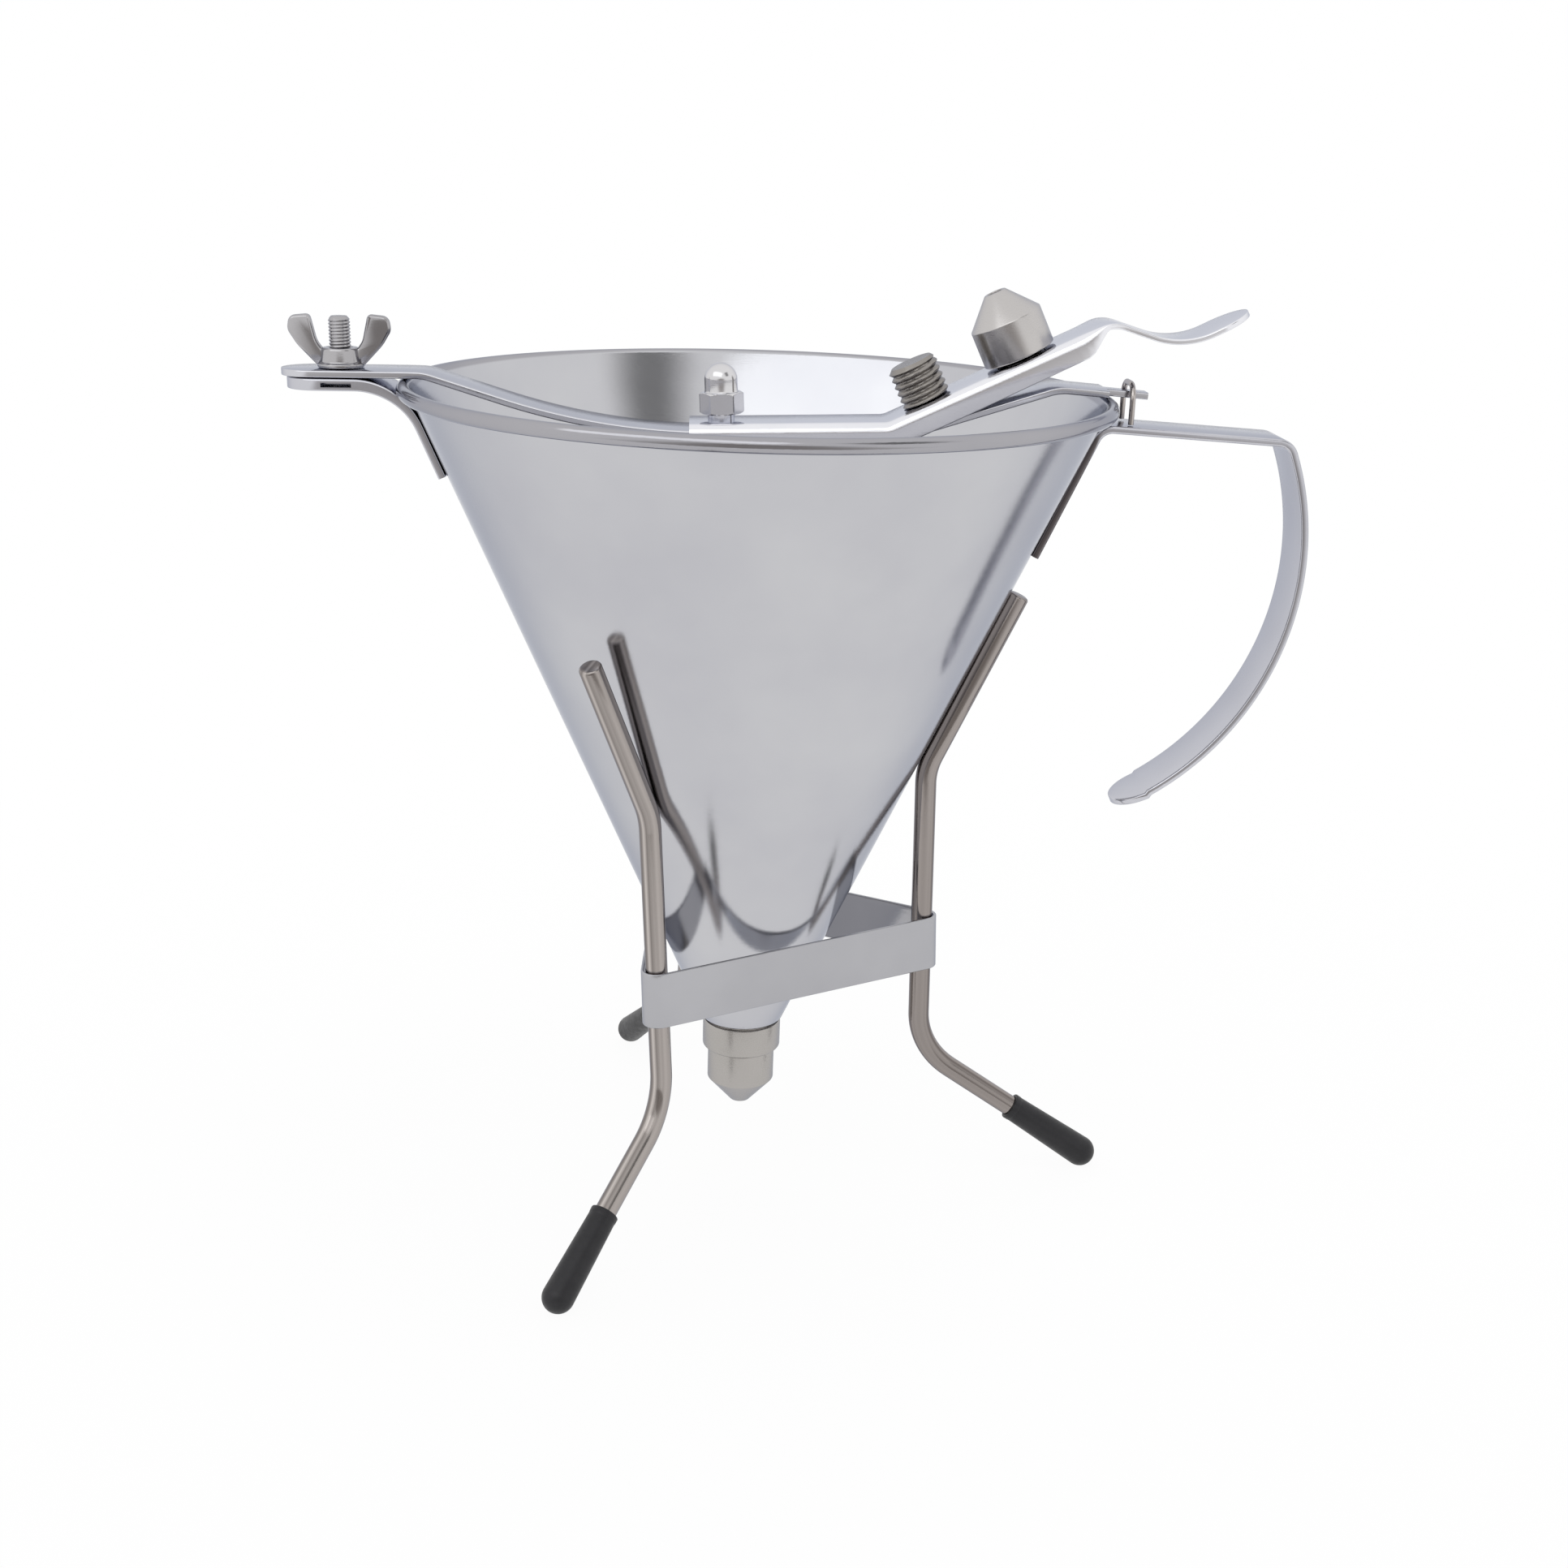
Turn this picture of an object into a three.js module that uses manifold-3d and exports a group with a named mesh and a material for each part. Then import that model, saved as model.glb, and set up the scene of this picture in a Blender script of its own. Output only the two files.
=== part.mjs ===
// Piston funnel on its wire stand: millimetres, +Z up, the feet stand on z = 0.
import * as THREE from 'three';
import { mergeVertices } from 'three/addons/utils/BufferGeometryUtils.js';
import Module from 'manifold-3d';

const wasm = await Module();
wasm.setup();

const DEGREE = Math.PI / 180;

// Gap that every seated piece keeps to its neighbour, and how far a cutter runs past what it cuts
const GAP = 0.25;
const OVERRUN = 2;

// Colours, each with its roughness and metalness
const POLISHED = { color: 0xc9cad0, roughness: 0.12, metalness: 1 };
const SATIN = { color: 0xa9a4a0, roughness: 0.34, metalness: 1 };
const ROD_STEEL = { color: 0xb4aba6, roughness: 0.22, metalness: 1 };
const VINYL = { color: 0x2f2e32, roughness: 0.55, metalness: 0 };
const RUBBER = { color: 0x26262a, roughness: 0.8, metalness: 0 };

// Funnel cone: its own frame has its origin at the centre of the rim's bead
const RIM_RADIUS = 100;
const BEAD_RADIUS = 2;
const WALL = 1;
const CONE_HALF_ANGLE = 24.04 * DEGREE;
const MOUTH_RADIUS = 12.376;
const CONE_STEPS = 72;

// Stand: three bent rods, a sheet band round them and a cap on each foot
const ROD_RADIUS = 3.15;
const LEG_COUNT = 3;
const LEG_TURN = -4.56 * DEGREE;
const LEG_RADIUS = 51.6;
const UPPER_BEND_HEIGHT = 129.9;
const UPPER_BEND_RADIUS = 20;
const UPPER_ARM_DEPTH = 56.1;

// The rods were cut by hand: how much longer the right, back and front arms are than that depth asks for
const UPPER_ARM_EXTRA = [1.8, 0, -3];
const LOWER_BEND_RADIAL = 49.9;
const LOWER_BEND_HEIGHT = 39.6;
const LOWER_BEND_RADIUS = 22;
const FOOT_REACH = 100.9;
const ROD_END_CHAMFER = 0.8;
const BAND_HEIGHT = 16.6;
const BAND_SHEET = 1;
const BAND_BOW = 1.2;
const BAND_CLEARANCE = 0.38;
const CAP_MOUTH_RADIUS = 4;
const CAP_TIP_RADIUS = 4.65;
const CAP_SLEEVE = 27;
const CAP_FLOOR = 3;
const CAP_FLAT = 0.45;

// How the funnel sits in the stand: it leans towards the leg under the handle
const FUNNEL_LEAN = 2.45 * DEGREE;

// Outlet hub, with its collar and threaded spigot, and the screwed nozzles
const HUB_NECK_HEIGHT = 3.6;
const HUB_SEAT_RADIUS = 8.4;
const HUB_BORE_RADIUS = 4.6;
const COLLAR_GAP = 1;
const COLLAR_RADIUS = 11.9;
const COLLAR_HEIGHT = 9;
const COLLAR_CHAMFER = 1.2;
const THREAD_RADIUS = 7;
const THREAD_DEPTH = 0.75;
const THREAD_PITCH = 2;
const SPIGOT_LENGTH = 7;
const NOZZLE_RADIUS = 10.2;
const NOZZLE_BODY = 10.6;
const NOZZLE_CONE = 8;
const NOZZLE_TIP_RADIUS = 3;
const NOZZLE_HOLE_RADIUS = 2.1;

// Strip steel of the handle and of the clamp tab
const STRIP = 2.2;
const STRIP_WIDTH = 20;

// Handle: a strap on the cone, an arm under the rim and a long curved grip
const HANDLE_STRAP_DEPTH = 42.8;
const HANDLE_ARM_DROP = 6.1;
const HANDLE_ARM_FALL = 2.9 * DEGREE;
const HANDLE_ROOT_BEND = 5;
const GRIP_BEND = 5;
const GRIP_RADIUS = 82.5;
const GRIP_CENTRE_INSET = 26.1;
const GRIP_CENTRE_DROP = 42.7;
const GRIP_START = 21 * DEGREE;
const GRIP_END = -65.1 * DEGREE;

// Crossbar: a sheet strip that dips between the rim's two sides
const BAR = 1.9;
const BAR_WIDTH = 17.8;
const BAR_LEFT_OUT = 32.2;
const BAR_LEFT_INSET = 5.7;
const BAR_CREST_BEND = 14;
const BAR_DIP = 14;
const BAR_LEFT_SLOPE = 16.5 * DEGREE;
const BAR_LEFT_SAG_RADIUS = 190;
const BAR_RIGHT_INSET = 60.5;
const BAR_RIGHT_SLOPE = 18.2 * DEGREE;
const BAR_RIGHT_FOOT_RADIUS = 26;
const NECK_LENGTH = 7.1;
const BAR_LEFT_FALL = 0.8 * DEGREE;
const BAR_RIGHT_FALL = 3.8 * DEGREE;
const TONGUE_WIDTH = 6;
const TONGUE_OUT = 9.1;

// Wire eye that holds the crossbar's tongue
const EYE_WIRE_RADIUS = 0.8;
const EYE_HALF_WIDTH = 6.6;
const EYE_BEND = 4.2;
const EYE_OUT = 4.1;
const EYE_SLACK = 0.9;

// Clamp: tab with a slot through its thick end, stud with a flat foot, and wing nut
const TAB_BEND = 19;
const TAB_THICKNESS = 3.2;
const TAB_SLOT_LEDGE = 0.95;
const TAB_STRAP_DEPTH = 24.5;
const TAB_END_INSET = 1.5;
const CLAMP_OUT = 15.8;
const STUD_RADIUS = 3;
const STUD_REACH = 14;
const STUD_CHAMFER = 0.6;
const STUD_FOOT_LENGTH = 7.8;
const STUD_FOOT_WIDTH = 12;
const STUD_FOOT = 0.75;
const WING_HUB_RADIUS = 6.4;
const WING_HUB_TOP_RADIUS = 5.2;
const WING_HUB_HEIGHT = 5.3;
const WING_HUB_FLANGE = 0.9;
const WING_SPAN = 28.2;
const WING_HEIGHT = 14.2;
const WING_THICKNESS = 2.8;

// Lever: a folded channel with a thumb tab, rocking on a round fulcrum pin
const SHEET = 1.5;
const LEVER_WIDTH = 22;
const LEVER_FOLD = 2.8;
const LEVER_FLANGE = 7.3;
const LEVER_FLANGE_END = 6.3;
const LEVER_LEFT_END = 19.3;
const LEVER_REST_TILT = 2.1 * DEGREE;
const LEVER_BEND_OUT = 0.2;
const LEVER_BEND_RADIUS = 8;
const LEVER_RISE = 23.7 * DEGREE;
const LEVER_RAMP = 66.8;
const TAB_WIDTH = 19;
const THUMB_CREST_RADIUS = 7;
const THUMB_FALL = 18.8 * DEGREE;
const THUMB_FALL_LENGTH = 21.3;
const THUMB_TROUGH_RADIUS = 25;
const THUMB_RISE = 25.1 * DEGREE;
const THUMB_RISE_LENGTH = 22;
const FULCRUM_INSET = 1.2;
const FULCRUM_RADIUS = 1;
const FULCRUM_LENGTH = 15;
const STUD_LENGTH = 11.2;
const BARE_STUD_ALONG = 13.1;
const SPARE_STUD_ALONG = 41.7;
const SPARE_SLACK = 0.5;

// Piston: rod, cap nut, valve plug, seal ring, spring and its collar
const PISTON_RADIUS = 3;
const PISTON_OFFSET = 9.9;
const PISTON_SLOT_SLACK = 0.75;
const LEVER_SLOT_SHIFT = 0.45;
const PLUG_RADIUS = 7;
const PLUG_TIP_RADIUS = 3.4;
const PLUG_HEIGHT = 12;
const PLUG_CONE = 6.4;
const PLUG_BORE = 8;
const SEAL_RADIUS = 0.9;
const NUT_FLATS = 11;
const NUT_HEX = 6;
const NUT_DOME_RADIUS = 4.6;
const NUT_DOME = 8;
const NUT_HOVER = 1.7;
const NUT_BORE = 8.5;
const SPRING_WIRE_RADIUS = 0.65;
const SPRING_RADIUS = 5.4;
const SPRING_CURLS = 9;
const SPRING_LENGTH = 40;
const SPRING_COLLAR_RADIUS = 6.8;
const SPRING_COLLAR = 4;

const WALL_RUN = WALL / Math.cos(CONE_HALF_ANGLE);
const CONE_SLOPE = Math.tan(CONE_HALF_ANGLE);
const BEAD_CENTRE = RIM_RADIUS - BEAD_RADIUS;
const WALL_TOP_RADIUS = BEAD_CENTRE - BEAD_RADIUS / Math.cos(CONE_HALF_ANGLE) + WALL_RUN;
const CONE_HEIGHT = (WALL_TOP_RADIUS - MOUTH_RADIUS) / CONE_SLOPE;

// Places along the funnel's X axis that follow the rim
const GRIP_CENTRE_X = RIM_RADIUS - GRIP_CENTRE_INSET;
const BAR_LEFT_END = RIM_RADIUS + BAR_LEFT_OUT;
const BAR_LEFT_CREST = BEAD_CENTRE - BAR_LEFT_INSET;
const BAR_RIGHT_FOOT = BEAD_CENTRE - BAR_RIGHT_INSET;
const EYE_X = RIM_RADIUS + EYE_OUT;
const BAR_SHOULDER = EYE_X - NECK_LENGTH;
const TONGUE_END = RIM_RADIUS + TONGUE_OUT;
const CLAMP_X = RIM_RADIUS + CLAMP_OUT;
const FULCRUM_X = BAR_RIGHT_FOOT - FULCRUM_INSET;
const LEVER_BEND_X = FULCRUM_X + LEVER_BEND_OUT;

// Outer radius of the cone's wall at a height in the funnel's own frame
function wallRadius(z) {
  return WALL_TOP_RADIUS + z * CONE_SLOPE;
}

// One closed body with merged corners and its faces pointing out
function closed(geometry) {
  geometry.deleteAttribute('normal');
  geometry.deleteAttribute('uv');
  const merged = mergeVertices(geometry, 1e-5);
  const p = merged.attributes.position;
  const index = Array.from(merged.index.array);
  const kept = [];
  let volume = 0;
  const [a, b, c] = [new THREE.Vector3(), new THREE.Vector3(), new THREE.Vector3()];
  for (let i = 0; i < index.length; i += 3) {
    const [i0, i1, i2] = index.slice(i, i + 3);
    if (i0 === i1 || i1 === i2 || i2 === i0) continue;
    a.fromBufferAttribute(p, i0);
    b.fromBufferAttribute(p, i1);
    c.fromBufferAttribute(p, i2);
    volume += a.dot(b.cross(c));
    kept.push([i0, i1, i2]);
  }
  const turned = volume < 0 ? kept.map(([i0, i1, i2]) => [i0, i2, i1]) : kept;
  merged.setIndex(turned.flat());
  return merged;
}

function toManifold(geometry) {
  const body = closed(geometry);
  const vertProperties = new Float32Array(body.attributes.position.array);
  const triVerts = new Uint32Array(body.index.array);
  return new wasm.Manifold(new wasm.Mesh({ numProp: 3, vertProperties, triVerts }));
}

function fromManifold(solid) {
  const mesh = solid.getMesh();
  const geometry = new THREE.BufferGeometry();
  geometry.setAttribute('position', new THREE.BufferAttribute(mesh.vertProperties, 3));
  geometry.setIndex(new THREE.BufferAttribute(mesh.triVerts, 1));
  return geometry;
}

function cut(geometry, ...cutters) {
  let solid = toManifold(geometry);
  for (const cutter of cutters) solid = solid.subtract(toManifold(cutter));
  return fromManifold(solid);
}

function join(geometry, ...others) {
  let solid = toManifold(geometry);
  for (const other of others) solid = solid.add(toManifold(other));
  return fromManifold(solid);
}

// Body of revolution about Z from [radius, height] pairs
function turnedBody(profile, steps) {
  const points = profile.map(([r, z]) => new THREE.Vector2(r, z));
  const geometry = new THREE.LatheGeometry(points, steps);
  geometry.rotateX(Math.PI / 2);
  return closed(geometry);
}

// The same for a profile that closes on itself, round a bore
function turnedRing(profile, steps) {
  return turnedBody([...profile, profile[0]], steps);
}

// Plain cylinder along Z
function cylinder(radius, bottom, top, steps) {
  return turnedBody([[0, bottom], [radius, bottom], [radius, top], [0, top]], steps);
}

function box(x0, x1, y0, y1, z0, z1) {
  const geometry = new THREE.BoxGeometry(x1 - x0, y1 - y0, z1 - z0);
  geometry.translate((x0 + x1) / 2, (y0 + y1) / 2, (z0 + z1) / 2);
  return closed(geometry);
}

// A path in the XZ plane through corners [x, z, bend radius], as points with round bends
function bentPath(corners, bendSteps = 6) {
  const path = [new THREE.Vector2(corners[0][0], corners[0][1])];
  for (let i = 1; i < corners.length - 1; i += 1) {
    const corner = new THREE.Vector2(corners[i][0], corners[i][1]);
    const before = new THREE.Vector2(corners[i - 1][0], corners[i - 1][1]).sub(corner).normalize();
    const after = new THREE.Vector2(corners[i + 1][0], corners[i + 1][1]).sub(corner).normalize();
    const half = before.angleTo(after) / 2;
    const radius = corners[i][2];
    const reach = radius / Math.tan(half);
    const middle = before.clone().add(after).normalize();
    const centre = corner.clone().addScaledVector(middle, radius / Math.sin(half));
    const from = corner.clone().addScaledVector(before, reach).sub(centre);
    const turn = Math.PI - 2 * half;
    const side = Math.sign(before.x * after.y - before.y * after.x);
    for (let s = 0; s <= bendSteps; s += 1) {
      const angle = -side * turn * (s / bendSteps);
      path.push(from.clone().rotateAround(new THREE.Vector2(), angle).add(centre));
    }
  }
  const last = corners[corners.length - 1];
  path.push(new THREE.Vector2(last[0], last[1]));
  return path;
}

// Lofts a section along a path in the XZ plane: the section's first value runs along Y
// and its second along the path's left side, which is up where the path runs to +X
function sweep(path, sectionAt) {
  const lengths = [0];
  for (let i = 1; i < path.length; i += 1) {
    lengths.push(lengths[i - 1] + path[i].distanceTo(path[i - 1]));
  }
  const total = lengths[path.length - 1];
  const sections = path.map((point, i) => sectionAt(lengths[i], total));
  const count = sections[0].length;
  const positions = [];
  path.forEach((point, i) => {
    const back = path[Math.max(i - 1, 0)];
    const front = path[Math.min(i + 1, path.length - 1)];
    const incoming = point.clone().sub(back).normalize();
    const outgoing = front.clone().sub(point).normalize();
    const tangent = incoming.clone().add(outgoing).normalize();
    const stretch = 1 / Math.max(Math.cos(incoming.angleTo(outgoing) / 2), 0.5);
    const full = i > 0 && i < path.length - 1 ? stretch : 1;
    for (const [u, v] of sections[i]) {
      positions.push(point.x - tangent.y * v * full, u, point.y + tangent.x * v * full);
    }
  });
  const index = [];
  for (let i = 0; i + 1 < path.length; i += 1) {
    for (let k = 0; k < count; k += 1) {
      const a = i * count + k;
      const b = i * count + ((k + 1) % count);
      index.push(a, b, b + count, a, b + count, a + count);
    }
  }
  const flat = sections[0].map(([u, v]) => new THREE.Vector2(u, v));
  const flatEnd = sections[sections.length - 1].map(([u, v]) => new THREE.Vector2(u, v));
  const end = (path.length - 1) * count;
  for (const [a, b, c] of THREE.ShapeUtils.triangulateShape(flat, [])) index.push(a, c, b);
  for (const [a, b, c] of THREE.ShapeUtils.triangulateShape(flatEnd, [])) {
    index.push(end + a, end + b, end + c);
  }
  const geometry = new THREE.BufferGeometry();
  geometry.setAttribute('position', new THREE.Float32BufferAttribute(positions, 3));
  geometry.setIndex(index);
  return closed(geometry);
}

// Adds the stations that a round end needs to a path: it ends in a half circle in plan
function withRoundEnd(path, radius, steps = 7) {
  const end = path[path.length - 1];
  const direction = end.clone().sub(path[path.length - 2]).normalize();
  const stations = [];
  for (let s = 0; s <= steps; s += 1) {
    const along = radius * (1 - Math.sin((s / steps) * 0.985 * Math.PI / 2));
    stations.push(end.clone().addScaledVector(direction, -along));
  }
  const keep = path.filter((p) => end.distanceTo(p) > radius * 1.001);
  return [...keep, ...stations];
}

function roundEndHalfWidth(toEnd, radius) {
  if (toEnd >= radius) return radius;
  const rise = radius - toEnd;
  return Math.sqrt(Math.max(radius * radius - rise * rise, (radius * 0.02) ** 2));
}

// Flat strip section, its half width given
function stripSection(halfWidth, thickness) {
  const h = thickness / 2;
  return [[-halfWidth, -h], [halfWidth, -h], [halfWidth, h], [-halfWidth, h]];
}

function roundSection(radius, sides) {
  const section = [];
  for (let k = 0; k < sides; k += 1) {
    const angle = (k / sides) * 2 * Math.PI;
    section.push([radius * Math.cos(angle), radius * Math.sin(angle)]);
  }
  return section;
}

// A screw thread as one closed body from bottom to top along Z
function threadedBody(bottom, top, steps = 20) {
  const rows = Math.round(((top - bottom) / THREAD_PITCH) * 4);
  const positions = [];
  const index = [];
  for (let j = 0; j <= rows; j += 1) {
    const z = bottom + ((top - bottom) * j) / rows;
    const taper = Math.min(1, Math.min(j, rows - j));
    for (let k = 0; k < steps; k += 1) {
      const turn = k / steps;
      const phase = (((z - bottom) / THREAD_PITCH - turn) % 1 + 1) % 1;
      const depth = taper ? THREAD_DEPTH * Math.abs(2 * phase - 1) : THREAD_DEPTH;
      const radius = THREAD_RADIUS - depth;
      positions.push(radius * Math.cos(turn * 2 * Math.PI), radius * Math.sin(turn * 2 * Math.PI), z);
    }
  }
  for (let j = 0; j < rows; j += 1) {
    for (let k = 0; k < steps; k += 1) {
      const a = j * steps + k;
      const b = j * steps + ((k + 1) % steps);
      index.push(a, b, b + steps, a, b + steps, a + steps);
    }
  }
  const low = positions.length / 3;
  positions.push(0, 0, bottom, 0, 0, top);
  for (let k = 0; k < steps; k += 1) {
    const next = (k + 1) % steps;
    index.push(low, next, k, low + 1, rows * steps + k, rows * steps + next);
  }
  const geometry = new THREE.BufferGeometry();
  geometry.setAttribute('position', new THREE.Float32BufferAttribute(positions, 3));
  geometry.setIndex(index);
  return closed(geometry);
}

function mesh(name, geometry, look) {
  const material = new THREE.MeshStandardMaterial(look);
  const piece = new THREE.Mesh(geometry, material);
  piece.name = name;
  return piece;
}

// Stand

const FOOT_HEIGHT = CAP_TIP_RADIUS - CAP_FLAT;
const UPPER_ARM_ANGLE = CONE_HALF_ANGLE + FUNNEL_LEAN;
const FOOT_DIRECTION = new THREE.Vector2(FOOT_REACH - LOWER_BEND_RADIAL, FOOT_HEIGHT - LOWER_BEND_HEIGHT).normalize();

function legRod(extra) {
  const armLength = upperArmLength() + extra;
  const top = [
    LEG_RADIUS + armLength * Math.sin(UPPER_ARM_ANGLE),
    UPPER_BEND_HEIGHT + armLength * Math.cos(UPPER_ARM_ANGLE),
  ];
  const inCap = CAP_FLOOR;
  const foot = [FOOT_REACH - FOOT_DIRECTION.x * inCap, FOOT_HEIGHT - FOOT_DIRECTION.y * inCap];
  const path = bentPath([
    top,
    [LEG_RADIUS, UPPER_BEND_HEIGHT, UPPER_BEND_RADIUS],
    [LOWER_BEND_RADIAL, LOWER_BEND_HEIGHT, LOWER_BEND_RADIUS],
    foot,
  ]);
  const first = path[0].clone().lerp(path[1], ROD_END_CHAMFER / path[0].distanceTo(path[1]));
  path.splice(1, 0, first);
  return sweep(path, (along) => roundSection(along === 0 ? ROD_RADIUS - ROD_END_CHAMFER : ROD_RADIUS, 12));
}

// Vinyl cap: a slightly flared sleeve with a round end, cut flat where it stands
function footCap() {
  const bore = ROD_RADIUS + GAP;
  const profile = [[bore, -CAP_SLEEVE], [CAP_MOUTH_RADIUS, -CAP_SLEEVE], [CAP_TIP_RADIUS, 0]];
  const roundSteps = 6;
  for (let s = 1; s < roundSteps; s += 1) {
    const angle = (s / roundSteps) * (Math.PI / 2);
    profile.push([CAP_TIP_RADIUS * Math.cos(angle), CAP_TIP_RADIUS * Math.sin(angle)]);
  }
  const boreEnd = GAP - CAP_FLOOR;
  profile.push([0, CAP_TIP_RADIUS], [0, boreEnd], [bore, boreEnd]);
  const body = turnedBody([...profile.slice(-2), ...profile.slice(0, -2)], 16);
  const tilt = Math.atan2(FOOT_DIRECTION.x, FOOT_DIRECTION.y);
  body.rotateY(tilt);
  body.translate(FOOT_REACH, 0, FOOT_HEIGHT);
  const far = FOOT_REACH + CAP_SLEEVE;
  return cut(body, box(0, far, -CAP_SLEEVE, CAP_SLEEVE, -CAP_TIP_RADIUS, 0));
}

// The cone's tip, where its wall touches the middle lines of all three rods less their radius.
// For a cone of half angle a that leans by b towards one of three even points at radius R,
// the points lie R (cos^2 a - 3/4 sin^2 b) / (sin a cos a) above the tip of the cone through them.
function wallTipInStand() {
  const [a, b] = [CONE_HALF_ANGLE, FUNNEL_LEAN];
  const height = LEG_RADIUS * (Math.cos(a) ** 2 - 0.75 * Math.sin(b) ** 2) / (Math.sin(a) * Math.cos(a));
  const tip = new THREE.Vector3(LEG_RADIUS - height * Math.tan(a + b), 0, UPPER_BEND_HEIGHT - height);
  return tip.addScaledVector(leanAxis(), (ROD_RADIUS + GAP) / Math.sin(a));
}

function leanAxis() {
  return new THREE.Vector3(Math.sin(FUNNEL_LEAN), 0, Math.cos(FUNNEL_LEAN));
}

// The rods' upper arms lie along the wall and end at a set depth below the rim
function upperArmLength() {
  const bend = new THREE.Vector3(LEG_RADIUS, 0, UPPER_BEND_HEIGHT).sub(wallTipInStand());
  const rise = WALL_TOP_RADIUS / CONE_SLOPE - UPPER_ARM_DEPTH - bend.dot(leanAxis());
  return rise / Math.cos(CONE_HALF_ANGLE);
}

// The rods lean out a little, so the band sits at their radius half way up it. Its top edge is
// as high as the leaning cone lets the bowed side be, with a clearance.
const ROD_SLOPE = (LEG_RADIUS - LOWER_BEND_RADIAL) / (UPPER_BEND_HEIGHT - LOWER_BEND_HEIGHT);
const BAND_INNER = (ROD_RADIUS + GAP + ROD_SLOPE * BAND_HEIGHT / 2) / Math.cos(Math.PI / LEG_COUNT / 6);
const BAND_TOP = bandTop();
const BAND_RADIAL = rodRadial(BAND_TOP - BAND_HEIGHT / 2);

function rodRadial(z) {
  return LOWER_BEND_RADIAL + ROD_SLOPE * (z - LOWER_BEND_HEIGHT);
}

function bandTop() {
  const tip = wallTipInStand();
  const side = Math.cos(Math.PI / LEG_COUNT);
  const climb = Math.tan(CONE_HALF_ANGLE - FUNNEL_LEAN);
  const room = rodRadial(-BAND_HEIGHT / 2) * side + BAND_INNER + BAND_BOW - BAND_CLEARANCE;
  return (room + tip.x + tip.z * climb) / (climb - ROD_SLOPE * side);
}

// Outline round the three rods at a given distance from their axes
function bandOutline(reach, target) {
  const arcSteps = 6;
  const bandBowShares = [0.8, 0.6, 0.3, 0, -0.3, -0.6, -0.8];
  for (let leg = 0; leg < LEG_COUNT; leg += 1) {
    const heading = (leg / LEG_COUNT) * 2 * Math.PI;
    const half = Math.PI / LEG_COUNT;
    for (let s = 0; s <= arcSteps; s += 1) {
      const angle = heading - half + (s / arcSteps) * 2 * half;
      const x = BAND_RADIAL * Math.cos(heading) + reach * Math.cos(angle);
      const y = BAND_RADIAL * Math.sin(heading) + reach * Math.sin(angle);
      if (leg === 0 && s === 0) target.moveTo(x, y);
      else target.lineTo(x, y);
    }
    // The leaning funnel pushes the side opposite the first rod out
    if (leg !== 1) continue;
    const flat = BAND_RADIAL * Math.cos(half) + reach;
    const run = BAND_RADIAL * Math.sin(half);
    for (const share of bandBowShares) {
      target.lineTo(-flat - BAND_BOW * (1 - share * share), run * share);
    }
  }
  target.closePath();
  return target;
}

function standBand() {
  const outline = bandOutline(BAND_INNER + BAND_SHEET, new THREE.Shape());
  outline.holes.push(bandOutline(BAND_INNER, new THREE.Path()));
  const geometry = new THREE.ExtrudeGeometry(outline, { depth: BAND_HEIGHT, bevelEnabled: false });
  geometry.translate(0, 0, BAND_TOP - BAND_HEIGHT);
  return closed(geometry);
}

function makeStand() {
  const stand = new THREE.Group();
  stand.rotation.z = LEG_TURN;
  stand.add(mesh('stand_band', standBand(), POLISHED));
  const side = ['right', 'back', 'front'];
  for (let leg = 0; leg < LEG_COUNT; leg += 1) {
    const holder = new THREE.Group();
    holder.rotation.z = (leg / LEG_COUNT) * 2 * Math.PI;
    holder.add(mesh(`leg_rod_${side[leg]}`, legRod(UPPER_ARM_EXTRA[leg]), ROD_STEEL));
    holder.add(mesh(`foot_cap_${side[leg]}`, footCap(), VINYL));
    stand.add(holder);
  }
  return stand;
}

// Funnel body

function funnelCone() {
  const offset = WALL_TOP_RADIUS - BEAD_CENTRE;
  const square = 1 + CONE_SLOPE * CONE_SLOPE;
  const root = Math.sqrt((CONE_SLOPE * offset) ** 2 - square * (offset ** 2 - BEAD_RADIUS ** 2));
  const meetZ = (-CONE_SLOPE * offset - root) / square;
  const from = Math.atan2(meetZ, wallRadius(meetZ) - BEAD_CENTRE);
  const to = Math.PI - CONE_HALF_ANGLE;
  const profile = [[wallRadius(-CONE_HEIGHT), -CONE_HEIGHT]];
  const arcSteps = 12;
  for (let s = 0; s <= arcSteps; s += 1) {
    const angle = from + (to - from) * (s / arcSteps);
    profile.push([BEAD_CENTRE + BEAD_RADIUS * Math.cos(angle), BEAD_RADIUS * Math.sin(angle)]);
  }
  profile.push([wallRadius(-CONE_HEIGHT) - WALL_RUN, -CONE_HEIGHT]);
  return turnedRing(profile, CONE_STEPS);
}

const COLLAR_TOP = -CONE_HEIGHT - COLLAR_GAP;
const COLLAR_BOTTOM = COLLAR_TOP - COLLAR_HEIGHT;

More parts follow.
